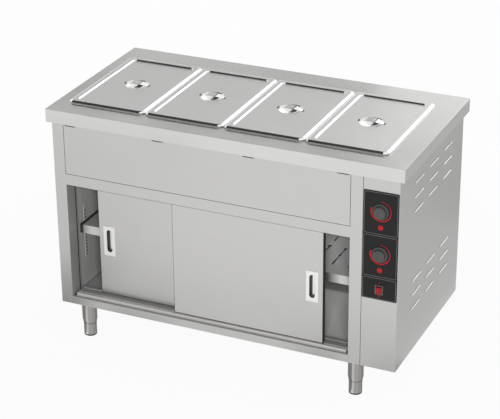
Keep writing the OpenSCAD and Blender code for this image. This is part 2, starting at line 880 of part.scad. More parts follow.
// Door shell: folded tray, open at the back, with a guide tongue below and the pull's cut-out
module door_shell(d) {
    x = [door_x[d], door_x[d] + door_w];
    y = [door_y[d], door_y[d] + door_t];
    tongue_y = [door_mid[d] - tongue_t / 2, door_mid[d] + tongue_t / 2];
    tongue_z = floor_z + guide_h - groove_d + tongue_clear;
    color([0.77, 0.77, 0.76])
        difference() {
            union() {
                difference() {
                    span(x, y, door_z);
                    span([x[0] + skin_t, x[1] - skin_t], [y[0] + skin_t, y[1] + cut],
                         [door_z[0] + skin_t, door_z[1] - skin_t]);
                }
                span(x, tongue_y, [tongue_z, door_z[0] + skin_t]);
            }
            at_pull(d)
                cup_prism(cup_wall + cup_clear, [-cut, skin_t + cut]);
        }
}

// Inner skin that closes a door's back
module door_inner(d) {
    color([0.70, 0.70, 0.70])
        span([door_x[d] + skin_t, door_x[d] + door_w - skin_t],
             [door_y[d] + door_t - skin_t, door_y[d] + door_t],
             [door_z[0] + skin_t, door_z[1] - skin_t]);
}

// Moves its children to the middle of a door's pull, on the door's face
module at_pull(d) {
    translate([pull_x[d], door_y[d], pull_z])
        children();
}

// Finger cup's outline with round ends, grown by a wall and drawn out along Y
module cup_prism(wall, y) {
    translate([0, y[1], 0])
        rotate([90, 0, 0])
            linear_extrude(y[1] - y[0]) {
                square([cup_w + 2 * wall, cup_h - cup_w], center = true);
                for (side = [-1, 1])
                    translate([0, side * (cup_h - cup_w) / 2])
                        circle(cup_w / 2 + wall);
            }
}

// Door pull: a bright plate with a deep finger cup pressed into the door
module door_pull(d) {
    color([0.92, 0.92, 0.92])
        at_pull(d)
            difference() {
                union() {
                    span([-pull_w / 2, pull_w / 2], [-pull_t, 0], [-pull_h / 2, pull_h / 2]);
                    cup_prism(cup_wall, [-pull_t, cup_d]);
                }
                cup_prism(0, [-pull_t - cut, cup_d - cup_wall]);
            }
}

// X places of a door's two hangers
function hanger_x(d) = [door_x[d] + hanger_in, door_x[d] + door_w - hanger_in];

// Hangers: a bent plate on the door's top that holds the wheel's axle
module door_hangers(d) {
    color([0.62, 0.62, 0.62])
        for (x = hanger_x(d))
            translate([x, door_mid[d], 0])
                union() {
                    span([-hanger_w / 2, hanger_w / 2], [ledge_y[0], hanger_y + hanger_t],
                         [door_z[1], door_z[1] + hanger_t]);
                    span([-hanger_w / 2, hanger_w / 2], [hanger_y, hanger_y + hanger_t],
                         [door_z[1], wheel_z + axle_r + hanger_t]);
                    translate([0, 0, wheel_z])
                        bar_y(axle_r, [wheel_y, hanger_y + hanger_t]);
                }
}

// Hanger wheel
module wheel(d, n) {
    color([0.90, 0.90, 0.86])
        translate([hanger_x(d)[n], door_mid[d], wheel_z])
            difference() {
                bar_y(wheel_r, [wheel_y, wheel_y + wheel_w]);
                bar_y(axle_r + axle_fit, [wheel_y - cut, wheel_y + wheel_w + cut]);
            }
}

// Leg sleeves: four tubes that taper to a nose, each on its mounting plate under the floor sheet
module leg_sleeves() {
    nose_r = foot_r + foot_fit + nose_wall;
    wide_z = sleeve_z + nose_h + taper_h;
    color([0.68, 0.68, 0.68])
        for (x = leg_x, y = leg_y)
            translate([x, y, 0])
                difference() {
                    union() {
                        translate([0, 0, sleeve_z])
                            cylinder(r = nose_r, h = nose_h);
                        translate([0, 0, sleeve_z + nose_h])
                            cylinder(r1 = nose_r, r2 = sleeve_r, h = taper_h);
                        translate([0, 0, wide_z])
                            cylinder(r = sleeve_r, h = plate_z - wide_z);
                        span([-plate_w / 2, plate_w / 2], [-plate_w / 2, plate_w / 2],
                             [plate_z, plate_z + plate_t]);
                    }
                    translate([0, 0, sleeve_z - cut])
                        cylinder(r = foot_r + foot_fit, h = plate_z - sleeve_z + cut);
                }
}

// Adjustable foot: a closed tube that slides in its sleeve
module foot(i) {
    color([0.70, 0.70, 0.70])
        translate([leg_x[i % 2], leg_y[floor(i / 2)], 0])
            difference() {
                cylinder(r = foot_r, h = sleeve_z + foot_in);
                translate([0, 0, foot_wall])
                    cylinder(r = foot_r - foot_wall, h = sleeve_z + foot_in);
            }
}

// Control fascia: black plate with three framed fields and holes for the fittings
module control_fascia() {
    x = [fascia_x - fascia_w / 2, fascia_x + fascia_w / 2];
    back = body_y[0] + cut;
    color([0.13, 0.13, 0.13])
        difference() {
            union() {
                span(x, [fascia_y, body_y[0]], [fascia_top - fascia_h, fascia_top]);
                for (f = [0 : 2])
                    field_frame(x, [field_top[f] - field_size[f], field_top[f]]);
            }
            for (f = [0, 1])
                translate([fascia_x, 0, field_top[f]]) {
                    translate([0, 0, -knob_drop])
                        bar_y(spindle_r + spindle_clear, [fascia_y - cut, back]);
                    translate([0, 0, -lamp_drop])
                        bar_y(lamp_barrel_r + lamp_clear, [fascia_y - cut, back]);
                }
            translate([fascia_x, 0, switch_z])
                span([-switch_half[0], switch_half[0]], [fascia_y - cut, back],
                     [-switch_half[1], switch_half[1]]);
        }
}

// Raised frame around one field of the fascia
module field_frame(x, z) {
    difference() {
        span(x, [fascia_y - frame_t, fascia_y], z);
        span([x[0] + frame_w, x[1] - frame_w], [fascia_y - frame_t - cut, fascia_y + cut],
             [z[0] + frame_w, z[1] - frame_w]);
    }
}

// Knob: skirt, grip and the spindle that runs back into its thermostat
module knob(f) {
    front = fascia_y - knob_out;
    color([0.27, 0.27, 0.27])
        translate([fascia_x, 0, field_top[f] - knob_drop])
            union() {
                bar_y(knob_skirt_r, [fascia_y - knob_gap - knob_skirt_h, fascia_y - knob_gap]);
                bar_y(knob_grip_r, [front, fascia_y - knob_gap]);
                bar_y(spindle_r, [front, body_y[0] + spindle_l]);
            }
}

// Thermostats behind the fascia, one to each knob
module thermostats() {
    color([0.85, 0.82, 0.72])
        for (f = [0, 1])
            translate([fascia_x, 0, field_top[f] - knob_drop])
                difference() {
                    span([-stat_w / 2, stat_w / 2], [body_y[0], body_y[0] + stat_d],
                         [-stat_w / 2, stat_w / 2]);
                    bar_y(spindle_r + spindle_fit,
                          [body_y[0] - cut, body_y[0] + spindle_l + spindle_clear]);
                }
}

// Pilot lamps: a domed lens in front of the fascia and a barrel through it
module pilot_lamps() {
    dome_r = (pow(lamp_r, 2) + pow(lamp_out, 2)) / (2 * lamp_out);
    color([0.80, 0.10, 0.12])
        for (f = [0, 1])
            translate([fascia_x, fascia_y, field_top[f] - lamp_drop])
                union() {
                    intersection() {
                        translate([0, dome_r - lamp_out, 0])
                            sphere(dome_r);
                        bar_y(lamp_r, [-lamp_out, 0]);
                    }
                    bar_y(lamp_barrel_r, [0, lamp_d]);
                }
}

// Switch body: bezel in front of the fascia and a box behind it, hollow for the rocker
module switch_body() {
    color([0.45, 0.45, 0.46])
        translate([fascia_x, fascia_y, switch_z])
            difference() {
                union() {
                    span([-bezel_w / 2, bezel_w / 2], [-bezel_out, 0], [-bezel_h / 2, bezel_h / 2]);
                    span([-switch_half[0], switch_half[0]], [0, switch_d],
                         [-switch_half[1], switch_half[1]]);
                }
                span([-rocker_w / 2 - rocker_gap, rocker_w / 2 + rocker_gap],
                     [-bezel_out - cut, rocker_back + rocker_out], [-rocker_room, rocker_room]);
                rocker_pins(pivot_fit, switch_half[0]);
            }
}

// Pivot pins of the rocker along X, grown by a gap
module rocker_pins(gap, reach) {
    translate([-reach, 0, 0])
        rotate([0, 90, 0])
            cylinder(r = pivot_r + gap, h = 2 * reach);
}

// Rocker: two raised ends with a dip between them, tilted about its pivot pins
module rocker() {
    half = rocker_h / 2;
    pin_reach = switch_half[0] - pivot_fit;
    color([0.68, 0.10, 0.12])
        translate([fascia_x, fascia_y, switch_z])
            rotate([rocker_tilt, 0, 0])
                union() {
                    along_x([-rocker_w / 2, rocker_w / 2])
                        polygon([
                            [-rocker_out, half], [rocker_dip - rocker_out, 0], [-rocker_out, -half],
                            [rocker_back, -half + rocker_back], [rocker_back, half - rocker_back]
                        ]);
                    rocker_pins(0, pin_reach);
                }
}

// Hairpin of round tube: two runs along X joined by a bend at the left, drawn in the X-Y plane
module hairpin(length, gap) {
    for (side = [-1, 1])
        translate([0, side * gap / 2, 0])
            rotate([0, 90, 0])
                cylinder(r = element_r, h = length);
    rotate([0, 0, 90])
        rotate_extrude(angle = 180)
            translate([gap / 2, 0])
                circle(element_r);
}

// Heating elements: one hairpin under the well tank and one along the cupboard's rear wall
module heating_elements() {
    color([0.42, 0.40, 0.39])
        union() {
            translate([well_x + well_w / 2 - well_run_in - well_run_l, well_y,
                       tank_z - element_r - element_gap])
                hairpin(well_run_l, well_run);
            translate([open_x[1] - cupboard_run_l, inner_y[1] - cupboard_run_y,
                       floor_z + cupboard_run_z + cupboard_run / 2])
                rotate([90, 0, 0])
                    hairpin(cupboard_run_l, cupboard_run);
        }
}

// Cable gland on the rear panel
module cable_gland() {
    color([0.12, 0.12, 0.12])
        translate([fascia_x, 0, leg_h + gland_z])
            difference() {
                bar_y(gland_r, [body_y[1], body_y[1] + gland_out]);
                bar_y(gland_bore, [body_y[1] - cut, body_y[1] + gland_out + cut]);
            }
}

// Screw heads along the rear panel's top and bottom
module rear_screws() {
    low = inner_x[0] + screw_in;
    pitch = (inner_x[1] - inner_x[0] - 2 * screw_in) / (screw_n - 1);
    color([0.60, 0.60, 0.60])
        for (i = [0 : screw_n - 1], z = [leg_h + screw_in, rim_z - screw_in])
            translate([low + i * pitch, 0, z])
                bar_y(screw_r, [body_y[1], body_y[1] + screw_h]);
}

worktop();
well_tank();
pan_bars();
for (i = [0 : pan_n - 1]) {
    gn_pan(i);
    gn_lid(i);
    lid_handle(i);
}
side_left();
side_right();
rear_panel();
cupboard_floor();
cupboard_ceiling();
stile_left();
stile_right();
apron_panel();
header_rail();
plinth_rail();
column_front();
liner_left();
liner_right();
shelf();
shelf_supports();
door_track();
door_guide();
for (d = [0, 1]) {
    side = ["left", "right"][d];
    door_shell(d);
    door_inner(d);
    door_pull(d);
    door_hangers(d);
    wheel(d, 0);
    wheel(d, 1);
}
leg_sleeves();
for (i = [0 : 3]) {
    foot(i);
}
control_fascia();
knob(0);  // knob_upper
knob(1);  // knob_lower
thermostats();
pilot_lamps();
switch_body();
rocker();
heating_elements();
cable_gland();
rear_screws();
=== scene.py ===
import math

import bmesh
import bpy
from mathutils import Matrix, Vector


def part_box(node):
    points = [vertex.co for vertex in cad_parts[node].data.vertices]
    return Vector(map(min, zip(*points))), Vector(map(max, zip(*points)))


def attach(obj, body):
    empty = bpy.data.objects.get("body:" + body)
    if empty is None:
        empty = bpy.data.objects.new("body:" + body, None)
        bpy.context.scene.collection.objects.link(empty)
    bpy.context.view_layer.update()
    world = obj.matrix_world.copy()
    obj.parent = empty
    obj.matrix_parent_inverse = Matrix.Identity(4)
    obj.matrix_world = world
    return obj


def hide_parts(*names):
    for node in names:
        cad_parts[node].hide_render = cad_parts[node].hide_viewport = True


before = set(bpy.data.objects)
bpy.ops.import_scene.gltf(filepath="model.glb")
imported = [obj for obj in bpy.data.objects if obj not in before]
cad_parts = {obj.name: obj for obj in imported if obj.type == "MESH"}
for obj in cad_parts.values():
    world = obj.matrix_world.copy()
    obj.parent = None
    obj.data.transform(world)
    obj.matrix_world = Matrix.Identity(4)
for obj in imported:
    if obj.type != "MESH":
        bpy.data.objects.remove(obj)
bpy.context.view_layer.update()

# Legs
# Four stainless tubes welded to square plates under the cabinet floor. Each narrows to a short nose,
# and a smaller tube with a black plastic end slides in it, so that the cupboard can be levelled.
MM = 0.001  # lengths times MM are metres, outlines and edge radii are plain millimetres
MERGE = 0.01 * MM
LEG_COUNT = 4
PLATE_THICK = 3
PLATE_HALF = 40 * MM
PLATE_EDGE = 0.8
SLEEVE_RADIUS = 30
SLEEVE_EDGE = 1.2
TAPER_LENGTH = 9
SHALLOW_TURN = 12
NOSE_LENGTH = 4
NOSE_WALL = 1.2
BUSH_HEIGHT = 1.5
SLIDING_GAP = 0.1
FOOT_WALL = 2
FOOT_EDGE = 0.6
GLIDE_HEIGHT = 6
GLIDE_CHAMFER = 1.2
GLIDE_EDGE = 0.4
GRAIN_ALONG_X = (5, 420, 420)
GRAIN_ALONG_Z = (420, 420, 5)
NOISE_RANGE = (0.3, 0.7)
BUMP_STRENGTH = 0.3
BRUSH_DEPTH = 0.004 * MM
STEEL_TONE = (0.985, 1.015)
STREAK_DULLNESS = (0.94, 1.06)
SMEAR_DULLNESS = (0.9, 1.12)
STEEL_RUB_TONE = 0.12
STEEL_RUB_POLISH = -0.45
PEBBLE_DEPTH = 0.03 * MM
PEBBLE_TONE = (0.92, 1.08)
DUST_TONE = (0.9, 1.12)
DUST_DULLNESS = (0.88, 1.14)
PLASTIC_RUB_TONE = 0.6


def add_node(tree, kind, inputs, **settings):
    node = tree.nodes.new(kind)
    for name, value in settings.items():
        setattr(node, name, value)
    for socket, value in inputs.items():
        if isinstance(value, bpy.types.NodeSocket):
            tree.links.new(value, node.inputs[socket])
        else:
            node.inputs[socket].default_value = value
    return node.outputs


def noise(tree, vector, scale, detail):
    return add_node(tree, "ShaderNodeTexNoise", {"Vector": vector, "Scale": scale, "Detail": detail})["Fac"]


def ramp(tree, value, start, end, low, high):
    ends = {"From Min": start, "From Max": end, "To Min": low, "To Max": high}
    return add_node(tree, "ShaderNodeMapRange", {"Value": value, **ends})["Result"]


def spread(tree, value, low, high):
    return ramp(tree, value, *NOISE_RANGE, low, high)


def calculate(tree, operation, *values):
    return add_node(tree, "ShaderNodeMath", dict(enumerate(values)), operation=operation)["Value"]


def shaded(tree, colour, shade):
    values = {"Vector": colour, "Scale": shade}
    return add_node(tree, "ShaderNodeVectorMath", values, operation="SCALE")["Vector"]


def surface_group(name, **more_inputs):
    group = bpy.data.node_groups.new(name, "ShaderNodeTree")
    inputs = {"Place": "Vector", "Rub": "Float", "Tint": "Color", "Roughness": "Float", **more_inputs}
    outputs = {"Colour": "Color", "Roughness": "Float", "Height": "Float"}
    for direction, sockets in (("INPUT", inputs), ("OUTPUT", outputs)):
        for label, kind in sockets.items():
            group.interface.new_socket(label, in_out=direction, socket_type="NodeSocket" + kind)
    given = group.nodes.new("NodeGroupInput")
    result = group.nodes.new("NodeGroupOutput")
    return group, given.outputs, result.inputs


def make_brushed_grain():
    group, given, result = surface_group("Brushed grain", Grain="Vector")
    streaks = noise(group, given["Grain"], scale=1, detail=3)
    smears = noise(group, given["Place"], scale=4, detail=2)
    tones = [spread(group, value, *STEEL_TONE) for value in (streaks, smears)]
    tone = calculate(group, "MULTIPLY", *tones)
    rubbed = calculate(group, "MULTIPLY_ADD", given["Rub"], STEEL_RUB_TONE, tone)
    group.links.new(shaded(group, given["Tint"], rubbed), result["Colour"])
    dullness = [spread(group, streaks, *STREAK_DULLNESS), spread(group, smears, *SMEAR_DULLNESS)]
    surface = calculate(group, "MULTIPLY", given["Roughness"], calculate(group, "MULTIPLY", *dullness))
    polish = calculate(group, "MULTIPLY_ADD", given["Rub"], STEEL_RUB_POLISH, 1)
    group.links.new(calculate(group, "MULTIPLY", surface, polish), result["Roughness"])
    group.links.new(streaks, result["Height"])
    return group


def make_plastic_grain():
    group, given, result = surface_group("Moulded grain")
    pebble = noise(group, given["Place"], scale=900, detail=2)
    dust = noise(group, given["Place"], scale=30, detail=4)
    tone = calculate(group, "MULTIPLY", spread(group, pebble, *PEBBLE_TONE), spread(group, dust, *DUST_TONE))
    rubbed = calculate(group, "MULTIPLY_ADD", given["Rub"], PLASTIC_RUB_TONE, tone)
    group.links.new(shaded(group, given["Tint"], rubbed), result["Colour"])
    dull = calculate(group, "MULTIPLY", given["Roughness"], spread(group, dust, *DUST_DULLNESS))
    group.links.new(dull, result["Roughness"])
    group.links.new(pebble, result["Height"])
    return group


BRUSHED_GRAIN = make_brushed_grain()
MOULDED_GRAIN = make_plastic_grain()


def new_material(name):
    material = bpy.data.materials.new(name)
    material.use_nodes = True
    return material, material.node_tree


def grained_material(name, group, tint, roughness, depth, grain=None):
    material, tree = new_material(name)
    place = tree.nodes.new("ShaderNodeTexCoord").outputs["Object"]
    values = {
        "Place": place,
        "Rub": add_node(tree, "ShaderNodeAttribute", {}, attribute_name="rub")["Fac"],
        "Tint": (*tint, 1),
        "Roughness": roughness,
    }
    if grain:
        values["Grain"] = add_node(tree, "ShaderNodeMapping", {"Vector": place, "Scale": grain})["Vector"]
    look = add_node(tree, "ShaderNodeGroup", values, node_tree=group)
    bump = {"Height": look["Height"], "Distance": depth, "Strength": BUMP_STRENGTH}
    shader = tree.nodes["Principled BSDF"].inputs
    tree.links.new(look["Colour"], shader["Base Color"])
    tree.links.new(look["Roughness"], shader["Roughness"])
    tree.links.new(add_node(tree, "ShaderNodeBump", bump)["Normal"], shader["Normal"])
    return material, shader


def brushed_steel(name, tint, roughness, grain=GRAIN_ALONG_X, metallic=1.0):
    material, shader = grained_material(name, BRUSHED_GRAIN, tint, roughness, BRUSH_DEPTH, grain)
    shader["Metallic"].default_value = metallic
    return material


def moulded_plastic(name, tint, roughness, shine=0.5):
    material, shader = grained_material(name, MOULDED_GRAIN, tint, roughness, PEBBLE_DEPTH)
    shader["Specular IOR Level"].default_value = shine
    return material


def joined(bm):
    bmesh.ops.remove_doubles(bm, verts=bm.verts, dist=MERGE)
    bmesh.ops.recalc_face_normals(bm, faces=bm.faces)
    return bm


def turned(outline, steps=48):
    bm = bmesh.new()
    verts = [bm.verts.new((radius * MM, 0, height * MM)) for radius, height in outline]
    edges = [bm.edges.new(pair) for pair in zip(verts, verts[1:])]
    bmesh.ops.spin(bm, geom=verts + edges, cent=(0, 0, 0), axis=(0, 0, 1), angle=2 * math.pi, steps=steps,
                   use_merge=True)
    return joined(bm)


def rub_layer(bm):
    return bm.faces.layers.float.get("rub") or bm.faces.layers.float.new("rub")


def soften(bm, radius, angle=35):
    rub = rub_layer(bm)
    sharp = [edge for edge in bm.edges if edge.calc_face_angle(0) > math.radians(angle)]
    made = bmesh.ops.bevel(bm, geom=sharp, offset=radius * MM, offset_type="OFFSET", segments=2, profile=0.5,
                           affect="EDGES", material=-1, clamp_overlap=True)
    for face in made["faces"]:
        face[rub] = 1
    return bm


def block(corner, opposite):
    low = Vector([*map(min, corner, opposite)])
    high = Vector([*map(max, corner, opposite)])
    bm = bmesh.new()
    size = Matrix.Diagonal((*(high - low), 1))
    bmesh.ops.create_cube(bm, size=1, matrix=Matrix.Translation((low + high) / 2) @ size)
    return bm


def add_part(bm, part, matrix=Matrix()):
    mesh = bpy.data.meshes.new("part")
    part.to_mesh(mesh)
    part.free()
    mesh.transform(matrix)
    bm.from_mesh(mesh)
    bpy.data.meshes.remove(mesh)


def moved(bm, matrix):
    bmesh.ops.transform(bm, matrix=matrix, verts=bm.verts)
    return bm


def centred(low, high, z):
    return ((low.x + high.x) / 2, (low.y + high.y) / 2, z)


def into_scene(name, data):
    item = bpy.data.objects.new(name, data)
    bpy.context.scene.collection.objects.link(item)
    return item


def mesh_object(name, bm, material):
    mesh = bpy.data.meshes.new(name)
    bm.to_mesh(mesh)
    bm.free()
    mesh.materials.append(material)
    return into_scene(name, mesh)


def fit_piece(bm, name, material, replaced=(), body="cabinet", crease=50):
    piece = mesh_object(name, bm, material)
    piece.data.shade_smooth()
    piece.data.set_sharp_from_angle(angle=math.radians(crease))
    even = piece.modifiers.new("even_shading", "WEIGHTED_NORMAL")
    even.keep_sharp = True
    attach(piece, body)
    if replaced:
        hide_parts(*replaced)


leg_steel = brushed_steel("leg_steel", (0.63, 0.617, 0.6), 0.2, GRAIN_ALONG_Z)
glide_plastic = moulded_plastic("glide_plastic", (0.012, 0.012, 0.012), 0.5, shine=0.2)
sleeve_low, sleeve_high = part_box("leg_sleeves")
sleeve_end = sleeve_low.z / MM
bush_end = sleeve_end - BUSH_HEIGHT
plate_top = sleeve_high.z / MM
plate_foot = plate_top - PLATE_THICK
legs = bmesh.new()
bush_shadows = bmesh.new()
for number in range(1, LEG_COUNT + 1):
    foot_low, foot_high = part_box(f"foot_{number}")
    axis = Matrix.Translation(centred(foot_low, foot_high, 0))
    foot_radius = (foot_high.x - foot_low.x) / 2 / MM
    bore = foot_radius + SLIDING_GAP
    nose_radius = bore + NOSE_WALL
    sleeve = turned([
        (bore, plate_foot),
        (bore, sleeve_end),
        (nose_radius, sleeve_end),
        (nose_radius, sleeve_end + NOSE_LENGTH),
        (SLEEVE_RADIUS, sleeve_end + NOSE_LENGTH + TAPER_LENGTH),
        (SLEEVE_RADIUS, plate_foot),
        (bore, plate_foot),
    ])
    add_part(legs, soften(sleeve, SLEEVE_EDGE, angle=SHALLOW_TURN), axis)
    # A black plastic bush ring at each sleeve mouth, which also serves as a painted shadow line where the
    # foot enters the sleeve.
    bush = turned([(bore, bush_end), (nose_radius, bush_end), (nose_radius, sleeve_end), (bore, sleeve_end),
                   (bore, bush_end)])
    add_part(bush_shadows, bush, axis)
    plate = block((-PLATE_HALF, -PLATE_HALF, plate_foot * MM), (PLATE_HALF, PLATE_HALF, plate_top * MM))
    add_part(legs, soften(plate, PLATE_EDGE), axis)

    foot_top = foot_high.z / MM
    tube = turned([
        (0, GLIDE_HEIGHT),
        (foot_radius, GLIDE_HEIGHT),
        (foot_radius, foot_top),
        (foot_radius - FOOT_WALL, foot_top),
        (foot_radius - FOOT_WALL, GLIDE_HEIGHT + FOOT_WALL),
        (0, GLIDE_HEIGHT + FOOT_WALL),
    ])
    fit_piece(soften(moved(tube, axis), FOOT_EDGE), f"foot_tube_{number}", leg_steel,
              [f"foot_{number}"], body=f"foot_{number}")
    glide = turned([(0, 0), (foot_radius - GLIDE_CHAMFER, 0), (foot_radius, GLIDE_CHAMFER),
                    (foot_radius, GLIDE_HEIGHT), (0, GLIDE_HEIGHT)])
    fit_piece(soften(moved(glide, axis), GLIDE_EDGE), f"foot_glide_{number}", glide_plastic,
              body=f"foot_{number}")
fit_piece(legs, "leg_tubes", leg_steel, ["leg_sleeves"])
fit_piece(bush_shadows, "sleeve_bush_shadows", glide_plastic)

# Cabinet shell
# Folded stainless sheet, spot-welded: floor, plinth rail with its edge turned back, two side panels and
# a rear panel screwed on from behind. The right side has two fields of pressed cooling louvres.
SHEET = 1.2 * MM
FLAT_ANGLE = math.radians(0.5)
HAIR_EDGE = 0.05
LOUVRE_RADIUS = 4.5 * MM
LOUVRE_WALL = 1 * MM
LOUVRE_LENGTH = 96 * MM
LOUVRE_PITCH_Y = 162 * MM
LOUVRE_PITCH_Z = 59 * MM
LOUVRE_BACK = 370 * MM
LOUVRE_DROPS = (185 * MM, 590 * MM)
HOOD_STEPS = 8
CREASE_WIDTH = 1.5 * MM
CREASE_PROUD = 0.2 * MM
SHADE_ACROSS = (-0.5, 0.3)
SHADE_INWARD = (-0.27, 0.08)
FRONT_SHARE = 0.25
DEEP_SHADE = 0.28
SHELF_SHADOW = (0.1, 0.117)
SHELF_SHADE = 0.45
STEEL_TINT = (0.615, 0.611, 0.596)
GRAIN_ALONG_Y = (420, 5, 420)
shell_steel = brushed_steel("shell_steel", STEEL_TINT, 0.36)
# The side and rear panels take the front's stainless with its grain along them, painted a little darker as
# shade on the sides.
side_shade_steel = brushed_steel("side_shade_steel", (0.583, 0.58, 0.568), 0.36, GRAIN_ALONG_Y)
# Dark used for real panel joints and the straps' weld marks, and also for painted shadow lines and gaps.
joint_and_shadow_dark = moulded_plastic("joint_and_shadow_dark", (0.035, 0.034, 0.033), 0.7, shine=0.2)
floor_steel = brushed_steel("floor_steel", (0.97, 0.966, 0.957), 0.5, metallic=0.0)


def dress(material, *nodes):
    for node in nodes:
        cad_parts[node].material_slots[0].material = material


# Scales a material's colour by a shade worked out from position: painted shade.
def paint_shade(material, shade_at):
    tree = material.node_tree
    colour = tree.nodes["Principled BSDF"].inputs["Base Color"]
    place = tree.nodes["Texture Coordinate"].outputs["Object"]
    split = add_node(tree, "ShaderNodeSeparateXYZ", {"Vector": place})
    shade = shade_at(tree, split["X"], split["Y"])
    tree.links.new(shaded(tree, colour.links[0].from_socket, shade), colour)


# Painted shade: darker towards the left and towards the front.
def inward_shade(tree, x, y):
    across = ramp(tree, x, *SHADE_ACROSS, 0, 1)
    inward = ramp(tree, y, *SHADE_INWARD, FRONT_SHARE, 1)
    return ramp(tree, calculate(tree, "MULTIPLY", across, inward), 0, 1, DEEP_SHADE, 1)


# Painted shadow of the shelf: darker towards the back.
def under_shelf_shade(tree, x, y):
    return ramp(tree, y, *SHELF_SHADOW, 1, SHELF_SHADE)


def softened_sheet(node, material, body="cabinet", radius=0.45):
    bm = bmesh.new()
    bm.from_mesh(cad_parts[node].data)
    bmesh.ops.remove_doubles(bm, verts=bm.verts, dist=MERGE)
    bmesh.ops.dissolve_limit(bm, angle_limit=FLAT_ANGLE, verts=bm.verts, edges=bm.edges)
    fit_piece(soften(bm, radius), node + "_sheet", material, [node], body)


# The cupboard floor is a bright, non-metal copy of the steel with painted shade towards the left and front,
# and a painted shadow at the back under the shelf.
paint_shade(floor_steel, inward_shade)
paint_shade(floor_steel, under_shelf_shade)
dress(floor_steel, "cupboard_floor")
softened_sheet("plinth_rail", shell_steel)
softened_sheet("side_left", side_shade_steel)
softened_sheet("rear_panel", side_shade_steel)

side_low, side_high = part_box("side_right")
side_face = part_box("column_front")[1].x
front_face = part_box("column_front")[0].y
worktop_low, worktop_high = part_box("worktop")
louvre_y = [front_face + LOUVRE_BACK + step * LOUVRE_PITCH_Y for step in (-1, 0, 1)]
louvre_z = [worktop_high.z - drop + step * LOUVRE_PITCH_Z for drop in LOUVRE_DROPS for step in (-1, 0, 1)]
slot_half = LOUVRE_LENGTH / 2 - LOUVRE_WALL
slot_rise = LOUVRE_RADIUS - LOUVRE_WALL
hood_base = LOUVRE_RADIUS / 2


def cut_through(bm, point, normal):
    geometry = [*bm.verts, *bm.edges, *bm.faces]
    bmesh.ops.bisect_plane(bm, geom=geometry, dist=MERGE, plane_co=point, plane_no=normal)


def in_louvre(point):
    beside = any(abs(point.y - y) < slot_half for y in louvre_y)
    level = any(0 < point.z - z + hood_base < slot_rise for z in louvre_z)
    return beside and level


def extruded(bm, edges):
    grown = bmesh.ops.extrude_edge_only(bm, edges=edges)["geom"]
    verts = [part for part in grown if isinstance(part, bmesh.types.BMVert)]
    return verts, [part for part in grown if isinstance(part, bmesh.types.BMEdge)]


def thickened(bm, thickness):
    bmesh.ops.solidify(bm, geom=bm.faces[:], thickness=thickness)
    return bm


def flat_sheet(corners):
    bm = bmesh.new()
    bm.faces.new([bm.verts.new(corner) for corner in corners])
    return bm


def add_block(bm, corner, opposite):
    add_part(bm, block(corner, opposite))


def louvre_hood():
    bm = bmesh.new()
    end = LOUVRE_LENGTH / 2 - LOUVRE_RADIUS
    quarter = math.pi / 2
    start = bm.verts.new((0, -end, LOUVRE_RADIUS))
    bmesh.ops.spin(bm, geom=[start], cent=(0, -end, 0), axis=(0, 1, 0), angle=quarter, steps=HOOD_STEPS)
    arc = list(bm.edges)
    far, far_arc = extruded(bm, arc)
    bmesh.ops.translate(bm, verts=far, vec=(0, 2 * end, 0))
    for edges, y, angle in ((arc, -end, -quarter), (far_arc, end, quarter)):
        verts = dict.fromkeys(vert for edge in edges for vert in edge.verts)
        bmesh.ops.spin(bm, geom=[*edges, *verts], cent=(0, y, 0), axis=(0, 0, 1), angle=angle,
                       steps=HOOD_STEPS)
    joined(bm).normal_update()
    if sum(face.normal.x for face in bm.faces) < 0:
        bmesh.ops.reverse_faces(bm, faces=bm.faces)
    return thickened(bm, LOUVRE_WALL)


panel_outline = ((side_low.y, side_low.z), (side_high.y, side_low.z), (side_high.y, side_high.z),
                 (side_low.y, side_high.z))
panel = flat_sheet([(side_face, y, z) for y, z in panel_outline])
for y in louvre_y:
    for edge in (-slot_half, slot_half):
        cut_through(panel, (side_face, y + edge, 0), (0, 1, 0))
for z in louvre_z:
    for edge in (0, slot_rise):
        cut_through(panel, (side_face, 0, z - hood_base + edge), (0, 0, 1))
slots = [face for face in panel.faces if in_louvre(face.calc_center_median())]
bmesh.ops.delete(panel, geom=slots, context="FACES")
thickened(panel, SHEET)
crease_shadows = bmesh.new()
for y in louvre_y:
    for z in louvre_z:
        add_part(panel, louvre_hood(), Matrix.Translation((side_face, y, z - hood_base)))
        # A dark strip along the top crease of each louvre: painted shade in the crease.
        crease_z = z - hood_base + LOUVRE_RADIUS
        add_block(crease_shadows, (side_face - SHEET, y - slot_half, crease_z),
                  (side_face + CREASE_PROUD, y + slot_half, crease_z + CREASE_WIDTH))
fit_piece(soften(crease_shadows, HAIR_EDGE), "louvre_crease_shadows", joint_and_shadow_dark)
fit_piece(panel, "side_right_louvred", side_shade_steel, ["side_right"])

# Front frame
# Two stiles with their jambs folded back, a plain apron with notches under the rim, the header over the
# doors and the front of the control column, butted together so that a fine dark joint shows between them.
JOINT_WIDTH = 2 * MM
SHADOW_LINE_WIDTH = 1.3 * MM
JOINT_PROUD = 0.05 * MM
JOINT_DEPTH = 0.4 * MM
LINE_EDGE = 0.1
front_steel = brushed_steel("front_steel", STEEL_TINT, 0.38)
for node in ("stile_left", "stile_right", "apron_panel", "header_rail", "column_front"):
    softened_sheet(node, front_steel)

